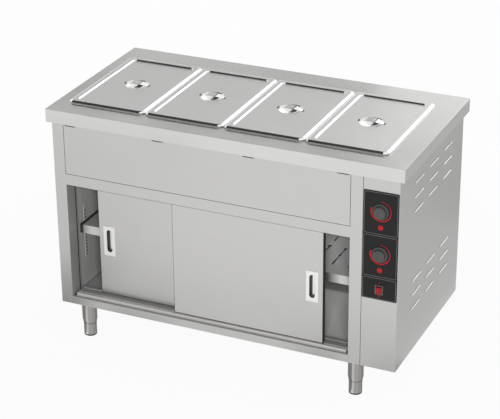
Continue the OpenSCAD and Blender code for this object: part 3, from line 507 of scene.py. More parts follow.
apron_low, apron_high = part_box("apron_panel")
stile_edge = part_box("stile_right")[1].x
cabinet_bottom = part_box("stile_right")[0].z
rim_bottom = worktop_low.z
header_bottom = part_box("header_rail")[0].z + SHADOW_LINE_WIDTH / 2
joints = bmesh.new()
joint_lines = [
    ((apron_low.x, apron_low.z), (apron_low.x, rim_bottom), JOINT_WIDTH),
    ((apron_high.x, apron_low.z), (apron_high.x, rim_bottom), JOINT_WIDTH),
    ((stile_edge, cabinet_bottom), (stile_edge, rim_bottom), JOINT_WIDTH),
    ((apron_low.x, apron_low.z), (apron_high.x, apron_low.z), JOINT_WIDTH),
    # The line under the header is a painted shadow over the doors; the other lines are real joints.
    ((apron_low.x, header_bottom), (apron_high.x, header_bottom), SHADOW_LINE_WIDTH),
]
for (x0, z0), (x1, z1), width in joint_lines:
    half = width / 2
    add_block(joints, (x0 - half, front_face - JOINT_PROUD, z0 - half),
              (x1 + half, front_face + JOINT_DEPTH, z1 + half))
fit_piece(soften(joints, LINE_EDGE), "panel_joints", joint_and_shadow_dark)

# Cupboard lining
# Plain stainless inner walls and ceiling, a shelf with keyhole air slots and turned-down lips, and four
# punched strips with bent clips that hold the shelf.
OPENING_LEFT = -0.685
OPENING_PITCH = 1.067
LIP_SHADOW = (0.022, 0.072)
LIP_SHADE = 0.12
BACK_GAP = 0.2 * MM
BACK_SHEET = 0.6 * MM
BACK_EDGE = 0.2
SHELF_EDGE = 0.4
SHELF_GAP_SHADOW = 9 * MM
GAP_SHADOW_LAP = 5 * MM
GAP_SHADOW_FRONT = 6 * MM
HOLE_SHADOW_DEPTH = 1.6 * MM
HOLE_MARGIN = 4 * MM
STRIP_WIDTH = 23 * MM
CLIP_THICK = 3 * MM
JAMB_SHEET = 0.2 * MM
JAMB_LINE = 60 * MM
LINE_WIDTH = 7 * MM
LINE_PROUD = 0.3 * MM
CORNER_LINE = 2 * MM
# Dark steel for thin sheets on the inner jambs, on the floor ledge in front of the guide and on the guide
# top: painted shade.
jamb_shade_steel = brushed_steel("jamb_shade_steel", (0.27, 0.268, 0.265), 0.45, GRAIN_ALONG_Z, metallic=0.1)
# One stainless lining in two tints: a darker copy, painted shade, for the left liner and the shelf supports,
# and a bright non-metal copy, painted light, for the right liner, ceiling, back and door inner skins.
shaded_wall_steel = brushed_steel("shaded_wall_steel", (0.40, 0.397, 0.39), 0.45, GRAIN_ALONG_Z, metallic=0.1)
lit_lining_steel = brushed_steel("lit_lining_steel", (0.92, 0.916, 0.905), 0.5, GRAIN_ALONG_Z, metallic=0.0)
# A darker copy of the shelf's steel for the lip face: painted shade.
lip_shade_steel = brushed_steel("lip_shade_steel", (0.53, 0.527, 0.52), 0.45, metallic=0.0)
shelf_steel = brushed_steel("shelf_steel", (0.97, 0.966, 0.957), 0.45, metallic=0.0)


# Painted shadow beside each opening's left jamb: darker at the left end of the lip.
def beside_jamb_shade(tree, x, y):
    from_left = calculate(tree, "SUBTRACT", x, OPENING_LEFT)
    into_opening = calculate(tree, "FLOORED_MODULO", from_left, OPENING_PITCH)
    return ramp(tree, into_opening, *LIP_SHADOW, LIP_SHADE, 1)


# The shelf is a bright, non-metal copy of the steel, with the same painted shade towards the left and front.
paint_shade(shelf_steel, inward_shade)
paint_shade(lip_shade_steel, beside_jamb_shade)
dress(shaded_wall_steel, "liner_left", "shelf_supports")
dress(lit_lining_steel, "liner_right", "cupboard_ceiling")
left_low, left_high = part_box("liner_left")
right_low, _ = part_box("liner_right")
back_lining = block((left_high.x, left_high.y - BACK_SHEET - BACK_GAP, left_low.z),
                    (right_low.x, left_high.y - BACK_GAP, left_high.z))
fit_piece(soften(back_lining, BACK_EDGE), "back_lining", lit_lining_steel)
softened_sheet("shelf", shelf_steel, radius=SHELF_EDGE)

shelf_low, shelf_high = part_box("shelf")
strips_low, strips_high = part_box("shelf_supports")
guide_low, guide_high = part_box("door_guide")
floor_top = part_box("cupboard_floor")[1].z
header_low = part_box("header_rail")[0].z
gap_shadow_front = shelf_low.y - LINE_PROUD
gap_shadow_top = shelf_high.z + LINE_PROUD
jamb_front = front_face + SHEET
line_y = front_face + JAMB_LINE
corner_top = floor_top + CORNER_LINE
sides = (
    (strips_low.x, shelf_low.x, guide_low.x, 1),
    (strips_high.x, shelf_high.x, guide_high.x, -1),
)
jamb_shades = bmesh.new()
shadows = bmesh.new()
# Dark blocks as painted shadow: in the gaps at the shelf ends, in the strips' holes, as lines on the walls
# and along the floor corners, in the gaps at the guide's ends, and behind the guide.
for wall_x, shelf_x, guide_x, inward in sides:
    gap_shadow_start = shelf_x - inward * SHELF_GAP_SHADOW
    gap_shadow_end = shelf_x + inward * GAP_SHADOW_LAP
    add_block(shadows, (gap_shadow_start, gap_shadow_front, shelf_high.z - CLIP_THICK), (gap_shadow_end, shelf_high.y, gap_shadow_top))
    add_block(shadows, (gap_shadow_start, gap_shadow_front, shelf_low.z), (gap_shadow_end, shelf_low.y + GAP_SHADOW_FRONT, gap_shadow_top))
    for strip_y in (strips_low.y, strips_high.y - STRIP_WIDTH):
        add_block(shadows, (wall_x, strip_y + HOLE_MARGIN, strips_low.z + HOLE_MARGIN),
                  (wall_x + inward * HOLE_SHADOW_DEPTH, strip_y + STRIP_WIDTH - HOLE_MARGIN,
                   strips_high.z - HOLE_MARGIN))
    add_block(jamb_shades, (wall_x, jamb_front, floor_top), (wall_x + inward * JAMB_SHEET, left_low.y, header_low))
    line_x = wall_x + inward * LINE_PROUD
    add_block(shadows, (wall_x, line_y, floor_top), (line_x, line_y + LINE_WIDTH, header_low))
    add_block(shadows, (wall_x, left_low.y, floor_top), (line_x, left_high.y, corner_top))
    add_block(shadows, (wall_x, guide_low.y, floor_top), (guide_x, guide_high.y, corner_top))
add_block(jamb_shades, (strips_low.x, jamb_front, floor_top), (strips_high.x, guide_low.y, floor_top + JAMB_SHEET))
add_block(shadows, (strips_low.x, guide_high.y, floor_top),
          (strips_high.x, guide_high.y + CORNER_LINE, floor_top + LINE_PROUD))
# A thin sheet over the shelf's front lip carries its painted shade.
lip = block((shelf_low.x, shelf_low.y - JAMB_SHEET, shelf_low.z), (shelf_high.x, shelf_low.y, shelf_high.z))
fit_piece(soften(lip, HAIR_EDGE), "shelf_lip_shade_face", lip_shade_steel)
fit_piece(soften(jamb_shades, HAIR_EDGE), "jamb_shade_faces", jamb_shade_steel)
fit_piece(soften(shadows, LINE_EDGE), "shelf_shadow_gaps", joint_and_shadow_dark)

# Door running gear
# A steel track with two channels under the ceiling, bent hangers with nylon wheels on top of the doors,
# and a floor guide with a rounded bead and two grooves for the doors' tongues.
GUIDE_EDGE = 0.8
GROOVE_HALF = 3 * MM
DECK_SHEET = 0.2 * MM
track_steel = brushed_steel("track_steel", (0.42, 0.415, 0.41), 0.4)
# The floor guide's steel is painted darker and half-matt, as shade low in the openings.
guide_shade_steel = brushed_steel("guide_shade_steel", (0.52, 0.513, 0.50), 0.3, metallic=0.35)
wheel_nylon = moulded_plastic("wheel_nylon", (0.78, 0.77, 0.72), 0.45)
dress(track_steel, "door_track", "hangers_left", "hangers_right")
softened_sheet("door_guide", guide_shade_steel, radius=GUIDE_EDGE)
groove_middles = [sum(corner.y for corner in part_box(f"door_{side}")) / 2 for side in ("right", "left")]
deck_ends = [*groove_middles, guide_high.y + GROOVE_HALF]
# Dark sheets on the guide top between the grooves: painted shade.
deck_shade = bmesh.new()
for start, end in zip(deck_ends, deck_ends[1:]):
    add_block(deck_shade, (guide_low.x, start + GROOVE_HALF, guide_high.z),
              (guide_high.x, end - GROOVE_HALF, guide_high.z + DECK_SHEET))
fit_piece(soften(deck_shade, HAIR_EDGE), "guide_deck_shade", jamb_shade_steel)
dress(wheel_nylon, "wheel_left_1", "wheel_left_2", "wheel_right_1", "wheel_right_2")

# Sliding doors
# Hollow doors of brushed sheet folded into a tray, closed at the back by an inner skin. Each has a bright
# stainless flush pull with a finger cup let into its face.
DOOR_LIFT = 19 * MM
DOOR_FOOT_SHADOW = 2.5 * MM
DOOR_FOLD = 1 * MM
PULL_PROUD = 1.5
PULL_CORNER = 2
PULL_EDGE = 0.6
CUP_HALF = (11, 48)
CUP_CORNER = 10.9
CUP_LIP = 1.5
CUP_MOUTH = [(CUP_LIP, 0), (0.4, 0.5), (0, CUP_LIP)]
CUP_DEPTH = 16.5
CUP_FOLD = 7
CUP_MARGIN = 0.5
FACING_FRONT = Matrix.Rotation(math.radians(90), 4, "X")
door_steel = brushed_steel("door_steel", STEEL_TINT, 0.37)
pull_steel = brushed_steel("pull_steel", (0.93, 0.925, 0.91), 0.42, GRAIN_ALONG_Z)
# The finger cup's walls use a dark copy of the pull's steel, painted shade, and its floor a bright, mostly
# matt copy, painted light.
cup_wall_shade_steel = brushed_steel("cup_wall_shade_steel", (0.16, 0.16, 0.158), 0.4, GRAIN_ALONG_Z)
cup_floor_lit_steel = brushed_steel("cup_floor_lit_steel", (0.9, 0.895, 0.88), 0.5, GRAIN_ALONG_Z, metallic=0.2)


def grow_shell(bm, edges, sections):
    for (half_x, half_y, corner, _), (next_x, next_y, next_corner, height) in zip(sections, sections[1:]):
        verts, edges = extruded(bm, edges)
        for vert in verts:
            side_x = math.copysign(MM, vert.co.x)
            side_y = math.copysign(MM, vert.co.y)
            arm_x = vert.co.x - side_x * (half_x - corner)
            arm_y = vert.co.y - side_y * (half_y - corner)
            vert.co.x = side_x * (next_x - next_corner) + arm_x * next_corner / corner
            vert.co.y = side_y * (next_y - next_corner) + arm_y * next_corner / corner
            vert.co.z = height * MM
    return edges


def rounded_shell(sections):
    bm = bmesh.new()
    rub_layer(bm)
    half_x, half_y, corner, height = sections[0]
    size = Matrix.Diagonal((half_x * MM, half_y * MM, 1, 1))
    bmesh.ops.create_grid(bm, x_segments=1, y_segments=1, size=1,
                          matrix=Matrix.Translation((0, 0, height * MM)) @ size)
    bmesh.ops.bevel(bm, geom=bm.verts[:], offset=corner * MM, offset_type="OFFSET", segments=8, profile=0.5,
                    affect="VERTICES", material=-1)
    bmesh.ops.delete(bm, geom=bm.faces[:], context="FACES_ONLY")
    first = bm.edges[:]
    return bm, first, grow_shell(bm, first, sections)


def facing_up(bm):
    joined(bm).normal_update()
    if max(bm.faces, key=lambda face: face.calc_area()).normal.z < 0:
        bmesh.ops.reverse_faces(bm, faces=bm.faces)
    return bm


def rounded_fold(radius, steps=4):
    turns = [math.radians(90) * step / steps for step in range(steps + 1)]
    return [(radius * (1 - math.cos(turn)), radius * math.sin(turn)) for turn in turns]


def inset_sections(half, corner, profile):
    return [(half[0] - inset, half[1] - inset, max(corner - inset, 1), height) for inset, height in profile]


cup_x, cup_z = CUP_HALF
cup_mouth = [(cup_x + out, cup_z + out, CUP_CORNER + out, PULL_PROUD - fall) for out, fall in CUP_MOUTH]
cup_fold = [(inset, CUP_FOLD - CUP_DEPTH - fall) for inset, fall in rounded_fold(CUP_FOLD)]
cup_wall = [(0, PULL_PROUD - CUP_LIP), *cup_fold]
cup_floor = [cup_fold[-1], (CUP_FOLD + CUP_MARGIN, -CUP_DEPTH)]
for side in ("left", "right"):
    door = f"door_{side}"
    softened_sheet(door, door_steel, body=door)
    dress(lit_lining_steel, door + "_inner")
    door_low, door_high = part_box(f"door_{side}")
    # Dark strips as painted shadow: beside the door's edge where the doors overlap, along its foot, and over
    # its outer side edge.
    door_foot = floor_top + DOOR_LIFT
    line_front = door_low.y - JOINT_PROUD
    line_back = door_low.y + JOINT_DEPTH
    edge_x = door_high.x - SHADOW_LINE_WIDTH if side == "left" else door_low.x
    outer_x = door_low.x if side == "left" else door_high.x
    edge = block((edge_x, line_front, door_low.z), (edge_x + SHADOW_LINE_WIDTH, line_back, door_high.z))
    add_block(edge, (door_low.x, line_front, door_foot), (door_high.x, line_back, door_foot + DOOR_FOOT_SHADOW))
    add_block(edge, (outer_x - JOINT_PROUD, door_low.y + DOOR_FOLD, door_low.z),
              (outer_x + JOINT_PROUD, door_high.y, door_high.z))
    fit_piece(soften(edge, LINE_EDGE), door + "_edge", joint_and_shadow_dark, body=door)

    pull_low, pull_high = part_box(f"pull_{side}")
    half_x = (pull_high.x - pull_low.x) / 2 / MM
    half_z = (pull_high.z - pull_low.z) / 2 / MM
    middle = ((pull_low.x + pull_high.x) / 2, pull_low.y + PULL_PROUD * MM, (pull_low.z + pull_high.z) / 2)
    on_door = Matrix.Translation(middle) @ FACING_FRONT
    pull, _, _ = rounded_shell([
        (half_x, half_z, PULL_CORNER, 0),
        (half_x, half_z, PULL_CORNER, PULL_PROUD - PULL_EDGE),
        (half_x - PULL_EDGE, half_z - PULL_EDGE, PULL_CORNER, PULL_PROUD),
        *cup_mouth,
    ])
    fit_piece(moved(facing_up(pull), on_door), f"pull_plate_{side}", pull_steel,
              [f"pull_{side}"], door, crease=35)
    for name, profile, material in (("wall", cup_wall, cup_wall_shade_steel), ("floor", cup_floor, cup_floor_lit_steel)):
        cup, _, cup_end = rounded_shell(inset_sections(CUP_HALF, CUP_CORNER, profile))
        if name == "floor":
            bmesh.ops.edgeloop_fill(cup, edges=cup_end)
        fit_piece(moved(facing_up(cup), on_door), f"pull_cup_{name}_{side}", material,
                  body=door, crease=35)

# Worktop and well
# One heavy stainless sheet with its edges folded down into a deep rim, cut out over the well. The tank
# hangs below it, and three bars across the cut-out carry the pans.
TOP_SHEET = 2
FOLD_RADIUS = 0.6
TOP_CORNER = 2.5
RIM_RUB = 0.4
WELL_WIDTH = 1296
WELL_DEPTH = 514
top_steel = brushed_steel("top_steel", (0.66, 0.656, 0.645), 0.22)
tank_steel = brushed_steel("tank_steel", (0.5, 0.495, 0.48), 0.36)
tank_low, tank_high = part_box("well_tank")
well_centre = (tank_low + tank_high) / 2
well_half = Vector((WELL_WIDTH, WELL_DEPTH, 0)) / 2 * MM
top_centre = (worktop_low + worktop_high) / 2
top_half = (worktop_high - worktop_low) / 2 / MM
top_z = worktop_high.z / MM
rim_z = worktop_low.z / MM


def over_well(face):
    point = face.calc_center_median()
    return abs(point.x - well_centre.x) < well_half.x and abs(point.y - well_centre.y) < well_half.y


fold = [(inset, top_z - FOLD_RADIUS + rise) for inset, rise in rounded_fold(FOLD_RADIUS)]
inside = [(0, rim_z), (TOP_SHEET, rim_z), (TOP_SHEET, top_z - TOP_SHEET)]
top, rim_start, upper_edge = rounded_shell(inset_sections(top_half, TOP_CORNER, [(0, rim_z), *fold]))
for face in top.faces:
    face[rub_layer(top)] = RIM_RUB
lower_edge = grow_shell(top, rim_start, inset_sections(top_half, TOP_CORNER, inside))
for edges in (upper_edge, lower_edge):
    bmesh.ops.edgeloop_fill(top, edges=edges)
bmesh.ops.translate(top, verts=top.verts, vec=(top_centre.x, top_centre.y, 0))
for side in (-1, 1):
    cut_through(top, well_centre + Vector((side * well_half.x, 0, 0)), (1, 0, 0))
    cut_through(top, well_centre + Vector((0, side * well_half.y, 0)), (0, 1, 0))
bmesh.ops.delete(top, geom=[face for face in top.faces if over_well(face)], context="FACES")
sheet_middle = (top_z - TOP_SHEET / 2) * MM
cut_edges = [edge for edge in top.edges if edge.is_boundary and edge.verts[0].co.z > sheet_middle]
cut_foot, _ = extruded(top, cut_edges)
bmesh.ops.translate(top, verts=cut_foot, vec=(0, 0, -TOP_SHEET * MM))
fit_piece(joined(top), "worktop_folded", top_steel, ["worktop"], crease=35)
dress(tank_steel, "well_tank", "pan_bars")

# Food pans and lids
# Full-size pans pressed from thin stainless, each under a pressed lid with a rounded rim, a sunken panel
# and a round finger dish, bridged by a bright strap that is spot-welded at both ends.
PAN_COUNT = 4
PAN_SHEET = 0.9 * MM
PAN_PROFILE = [(0, 20, 0), (9, 38, 0), (11, 39, -0.8), (12, 39, -3), (14, 39, -134), (17, 37, -143),
               (24, 34, -148), (32, 28, -149)]
LID_SHEET = 1 * MM
LID_CORNER = 20
CORNER_TIGHTENING = 0.25
LID_FOOT = 4
LID_HEIGHT = 10
LID_ROLL = 15
ROLL_START = 38
ROLL_STEPS = 10
LID_RIM = 27
PANEL_LEVEL = 5
PANEL_MARGIN = 3
LID_STEP = [(-1, LID_HEIGHT), (0, 9.7), (0.8, 9), (2.2, 6.4), (3, 5.6), (4, 5.1), (5, PANEL_LEVEL)]
LEVEL_NORMAL = 0.99
EDGE_POLISH_AND_HIGHLIGHT = 1.8
CIRCLE_STEPS = 48
DISH_LIP = [(49, 0), (47, 0.2), (45.5, 0.9)]
DISH_RADIUS = 44
DISH_LEVEL = 2
BOWL_RADIUS = 65
BOWL_STEPS = 8
STRAP_REACH = 49
STRAP_HALF_OUTLINE = [(STRAP_REACH, -2), (47, -1), (44.5, 0.2), (26, 6.2), (23, 7), (20, 7.7), (17, 8.2),
                      (14, 8.4), (10, 8.5)]
STRAP_HALF = 19 * MM
STRAP_TAPER = 0.72
STRAP_SHEET = 2 * MM
STRAP_EDGE = 0.5
WELD_RADII = (46, 54)
WELD_SPREAD = math.radians(10)
WELD_STEPS = 6
WELD_SHEET = 0.6 * MM
lid_steel = brushed_steel("lid_steel", (0.72, 0.717, 0.71), 0.36)
strap_steel = brushed_steel("strap_steel", (0.72, 0.715, 0.70), 0.06)
pan_steel = brushed_steel("pan_steel", (0.60, 0.596, 0.585), 0.28)


def pan_shell(half):
    sections = [(half.x - inset, half.y - inset, corner, depth) for inset, corner, depth in PAN_PROFILE]
    bm, _, bottom = rounded_shell(sections)
    bmesh.ops.edgeloop_fill(bm, edges=bottom)
    return facing_up(bm)


def lid_profile():
    sweep = (90 - ROLL_START) / ROLL_STEPS
    turns = [math.radians(ROLL_START + sweep * step) for step in range(ROLL_STEPS + 1)]
    outer = LID_ROLL * math.cos(turns[0])
    axis = LID_HEIGHT - LID_ROLL
    roll = [(outer - LID_ROLL * math.cos(turn), axis + LID_ROLL * math.sin(turn)) for turn in turns]
    step = [(LID_RIM + inset, height) for inset, height in LID_STEP]
    return [(LID_FOOT, 0), *roll, *step, (step[-1][0] + PANEL_MARGIN, PANEL_LEVEL)]


def dish_rings():
    bowl_edge = math.sqrt(BOWL_RADIUS ** 2 - DISH_RADIUS ** 2)
    radii = [DISH_RADIUS * (1 - step / BOWL_STEPS) for step in range(BOWL_STEPS)]
    bowl = [(radius, DISH_LEVEL + math.sqrt(BOWL_RADIUS ** 2 - radius ** 2) - bowl_edge) for radius in radii]
    return [(radius, radius, radius, PANEL_LEVEL - depth) for radius, depth in [*DISH_LIP, *bowl]]


def lid_shell(half):
    sections = [(half.x - inset, half.y - inset, LID_CORNER - inset * CORNER_TIGHTENING, height)
                for inset, height in lid_profile()]
    bm, _, fold_end = rounded_shell(sections[:-1])
    bm.normal_update()
    for face in bm.faces:
        # Sloping faces of the lid get a strong rub: a smoother polish, and also painted brighter as a
        # highlight.
        face[rub_layer(bm)] = EDGE_POLISH_AND_HIGHLIGHT if abs(face.normal.z) < LEVEL_NORMAL else 0
    panel_edge = grow_shell(bm, fold_end, sections[-2:])
    rings = dish_rings()
    before = set(bm.edges)
    bmesh.ops.create_circle(bm, segments=CIRCLE_STEPS, radius=rings[0][0] * MM,
                            matrix=Matrix.Translation((0, 0, PANEL_LEVEL * MM)))
    dish_edge = [edge for edge in bm.edges if edge not in before]
    bmesh.ops.triangle_fill(bm, use_beauty=True, edges=[*panel_edge, *dish_edge])
    flat = set(bm.faces)
    dish_floor = grow_shell(bm, dish_edge, rings)
    bmesh.ops.edgeloop_fill(bm, edges=dish_floor)
    for face in bm.faces:
        face[rub_layer(bm)] = max(face[rub_layer(bm)], face not in flat)
    return facing_up(bm)


def strap():
    bm = bmesh.new()
    mirrored = [(-x, z) for x, z in STRAP_HALF_OUTLINE]
    outline = [*mirrored, *reversed(STRAP_HALF_OUTLINE)]
    verts = [bm.verts.new((x * MM, -STRAP_HALF, z * MM)) for x, z in outline]
    edges = [bm.edges.new(pair) for pair in zip(verts, verts[1:])]
    far, _ = extruded(bm, edges)
    bmesh.ops.translate(bm, verts=far, vec=(0, 2 * STRAP_HALF, 0))
    for vert in bm.verts:
        vert.co.y *= 1 - STRAP_TAPER * (abs(vert.co.x) / (STRAP_REACH * MM)) ** 2
    return facing_up(bm)


def sweep_edge(bm, ends, centre, angle, steps):
    verts = [bm.verts.new(end) for end in ends]
    edge = bm.edges.new(verts)
    bmesh.ops.spin(bm, geom=[*verts, edge], cent=centre, axis=(0, 0, 1), angle=angle, steps=steps)


def weld_marks():
    bm = bmesh.new()
    for turn in (0, math.pi):
        heading = Vector((math.cos(turn - WELD_SPREAD), math.sin(turn - WELD_SPREAD), 0))
        ends = [heading * radius * MM for radius in WELD_RADII]
        sweep_edge(bm, ends, (0, 0, 0), 2 * WELD_SPREAD, WELD_STEPS)
    return thickened(facing_up(bm), -WELD_SHEET)


lift = Matrix.Translation((0, 0, PANEL_LEVEL * MM))
for number in range(1, PAN_COUNT + 1):
    pan_low, pan_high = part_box(f"gn_pan_{number}")
    half = (pan_high - pan_low) / 2 / MM
    seat = Matrix.Translation(centred(pan_low, pan_high, pan_high.z))
    pan = moved(thickened(pan_shell(half), PAN_SHEET), seat)
    fit_piece(pan, f"food_pan_{number}", pan_steel, [f"gn_pan_{number}"], f"pan_{number}",
              crease=60)
    lid = moved(thickened(lid_shell(half), LID_SHEET), seat)
    fit_piece(lid, f"pan_lid_{number}", lid_steel, [f"gn_lid_{number}"], f"lid_{number}",
              crease=60)
    handle = moved(thickened(strap(), -STRAP_SHEET), seat @ lift)
    fit_piece(soften(handle, STRAP_EDGE), f"lid_strap_{number}", strap_steel,
              [f"lid_handle_{number}"], f"lid_{number}")
    welds = moved(weld_marks(), seat @ lift)
    fit_piece(welds, f"lid_welds_{number}", joint_and_shadow_dark, body=f"lid_{number}")

# Control panel
# A black moulded fascia with three framed fields, screwed over a window in the column. Two thermostat
# knobs each have a printed red heat scale and a red pilot lamp below, and a red rocker switches the mains.
FASCIA_CORNER = 5
FASCIA_FOLD = 1.2
FASCIA_THICK = 3
FIELD_HEIGHTS = (172, 172, 92)
FRAME_INSET = 3
FRAME_CORNER = 8
FRAME_WIDTH = 2
FRAME_PROUD = 1.2
FRAME_FLANK = [(0, -FRAME_PROUD), (0.25, FRAME_PROUD - 0.3), (0.6, FRAME_PROUD)]
KNOB_SKIRT = 31
KNOB_GRIP = 24
KNOB_OUT = 20
KNOB_STEPS = 72
KNOB_OUTLINE = [
    (0, 0.5), (KNOB_SKIRT - 0.6, 0.5), (KNOB_SKIRT, 1.1), (KNOB_SKIRT, 5), (KNOB_SKIRT - 1.5, 6.5),
    (KNOB_GRIP + 2.2, 6.2), (KNOB_GRIP + 0.6, 4.8), (KNOB_GRIP, 6), (KNOB_GRIP - 0.8, KNOB_OUT - 2.2),
    (KNOB_GRIP - 2.4, KNOB_OUT - 0.6), (KNOB_GRIP - 4.5, KNOB_OUT - 0.6), (KNOB_GRIP - 6, KNOB_OUT - 1.2),
    (0, KNOB_OUT - 1.2),
]
FLUTE_FOOT = 5.5 * MM
FLUTE_INNER = KNOB_GRIP - 1.5
FLUTE_OUTER = KNOB_GRIP + 0.3
FLUTE_EVERY = 3
FLUTE_SHRINK = 0.96
POINTER_HALF = 1.1 * MM
POINTER_START = 6 * MM
POINTER_END = 21 * MM
POINTER_DEEP = 2
POINTER_EDGE = 0.4
PRINT_THICK = 0.12
RING_RADIUS = 40
RING_SWEEP = 288
RING_THIN = 1.6
RING_THICK = 5.6
RING_STEPS = 60
LAMP_RADIUS = 10
LAMP_BARREL = 8
LAMP_OUT = 4
LAMP_DEEP = 12
LENS_OUTLINE = [
    (0, LAMP_OUT), (3.6, LAMP_OUT - 0.3), (6.8, LAMP_OUT - 1.2), (8.9, LAMP_OUT - 2.6), (LAMP_RADIUS, 1),
    (LAMP_RADIUS, 0), (LAMP_BARREL, 0), (LAMP_BARREL, -LAMP_DEEP), (0, -LAMP_DEEP),
]
MARK_GAP = 27 * MM
ON_MARK = (0.9 * MM, 3.5 * MM)
OFF_MARK = (2.2, 3.5)
SMALL_STEPS = 24
SWITCH_EDGE = 0.6
ROCKER_EDGE = 0.7
fascia_plastic = moulded_plastic("fascia_plastic", (0.011, 0.011, 0.011), 0.42, shine=0.2)
# The frames are the fascia's black plastic painted lighter, as a highlight along their ridges.
frame_highlight_plastic = moulded_plastic("frame_highlight_plastic", (0.13, 0.133, 0.133), 0.35, shine=0.4)
knob_plastic = moulded_plastic("knob_plastic", (0.06, 0.06, 0.06), 0.45, shine=0.3)
switch_plastic = moulded_plastic("switch_plastic", (0.075, 0.075, 0.075), 0.45, shine=0.4)
red_lens = moulded_plastic("red_lens", (0.38, 0.010, 0.013), 0.22, shine=0.2)
red_rocker = moulded_plastic("red_rocker", (0.26, 0.009, 0.013), 0.3, shine=0.25)
red_ink = moulded_plastic("red_ink", (0.42, 0.009, 0.012), 0.5, shine=0.15)

fascia_low, fascia_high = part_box("control_fascia")
fascia_x = (fascia_low.x + fascia_high.x) / 2
fascia_half = ((fascia_high.x - fascia_low.x) / 2 / MM, (fascia_high.z - fascia_low.z) / 2 / MM)
fascia_face = front_face - FASCIA_THICK * MM


def on_fascia(z):
    return Matrix.Translation((fascia_x, fascia_face, z)) @ FACING_FRONT


def fluted_knob():
    bm = turned(KNOB_OUTLINE, KNOB_STEPS)
    for vert in bm.verts:
        radius = math.hypot(vert.co.x, vert.co.y) / MM
        step = round(math.degrees(math.atan2(vert.co.y, vert.co.x)) / (360 / KNOB_STEPS))
        on_grip = vert.co.z > FLUTE_FOOT and FLUTE_INNER < radius < FLUTE_OUTER
        if on_grip and step % FLUTE_EVERY == 0:
            vert.co.x *= FLUTE_SHRINK
            vert.co.y *= FLUTE_SHRINK
    pointer = block((-POINTER_HALF, POINTER_START, (KNOB_OUT - POINTER_DEEP) * MM),
                    (POINTER_HALF, POINTER_END, KNOB_OUT * MM))
    add_part(bm, soften(pointer, POINTER_EDGE))
    return bm


def heat_scale():
    bm = bmesh.new()
    ends = [(0, radius * MM, 0) for radius in (RING_RADIUS, RING_RADIUS - RING_THIN)]
    sweep_edge(bm, ends, (0, 0, 0), -math.radians(RING_SWEEP), RING_STEPS)
    for vert in bm.verts:
        if vert.co.length < (RING_RADIUS - RING_THIN / 2) * MM:
            swept = math.degrees(math.atan2(vert.co.x, vert.co.y)) % 360 / RING_SWEEP
            thickness = RING_THIN + (RING_THICK - RING_THIN) * swept
            vert.co *= (RING_RADIUS - thickness) / (RING_RADIUS - RING_THIN)
    return thickened(facing_up(bm), -PRINT_THICK * MM)


edge_fold = [(0, -FASCIA_THICK), *[(inset, rise - FASCIA_FOLD) for inset, rise in rounded_fold(FASCIA_FOLD)]]
fascia, fascia_back, fascia_front = rounded_shell(inset_sections(fascia_half, FASCIA_CORNER, edge_fold))
for edges in (fascia_back, fascia_front):
    bmesh.ops.edgeloop_fill(fascia, edges=edges)
bmesh.ops.recalc_face_normals(fascia, faces=fascia.faces)
moved(fascia, on_fascia((fascia_low.z + fascia_high.z) / 2))
fit_piece(fascia, "fascia_plate", fascia_plastic, ["control_fascia"])

frames = bmesh.new()
field_top = fascia_high.z / MM
ridge = [*FRAME_FLANK, *[(FRAME_WIDTH - inset, rise) for inset, rise in reversed(FRAME_FLANK)]]
for height in FIELD_HEIGHTS:
    field_half = (fascia_half[0] - FRAME_INSET, height / 2 - FRAME_INSET)
    field, _, _ = rounded_shell(inset_sections(field_half, FRAME_CORNER, ridge))
    add_part(frames, facing_up(field), on_fascia((field_top - height / 2) * MM))
    field_top -= height
fit_piece(frames, "fascia_frames", frame_highlight_plastic)

lenses = bmesh.new()
scales = bmesh.new()
lamps_low, lamps_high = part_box("pilot_lamps")
lamp_levels = (lamps_high.z - LAMP_RADIUS * MM, lamps_low.z + LAMP_RADIUS * MM)
for name, lamp_z in zip(("upper", "lower"), lamp_levels):
    knob_low, knob_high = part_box(f"knob_{name}")
    knob_z = (knob_low.z + knob_high.z) / 2
    fit_piece(moved(fluted_knob(), on_fascia(knob_z)), f"fluted_knob_{name}", knob_plastic,
              [f"knob_{name}"], f"knob_{name}", crease=32)
    add_part(scales, heat_scale(), on_fascia(knob_z))
    add_part(lenses, turned(LENS_OUTLINE), on_fascia(lamp_z))
fit_piece(lenses, "pilot_lenses", red_lens, ["pilot_lamps"])

switch_low, switch_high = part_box("switch_body")
switch_z = (switch_low.z + switch_high.z) / 2
on_x, on_y = ON_MARK
on_mark = block((-on_x, -on_y, 0), (on_x, on_y, PRINT_THICK * MM))
add_part(scales, on_mark, on_fascia(switch_z + MARK_GAP))
off_in, off_out = OFF_MARK
off_mark = turned([(off_in, 0), (off_out, 0), (off_out, PRINT_THICK), (off_in, PRINT_THICK), (off_in, 0)],
                  SMALL_STEPS)
add_part(scales, off_mark, on_fascia(switch_z - MARK_GAP))
fit_piece(scales, "red_print", red_ink)
softened_sheet("switch_body", switch_plastic, radius=SWITCH_EDGE)
softened_sheet("rocker", red_rocker, body="rocker", radius=ROCKER_EDGE)

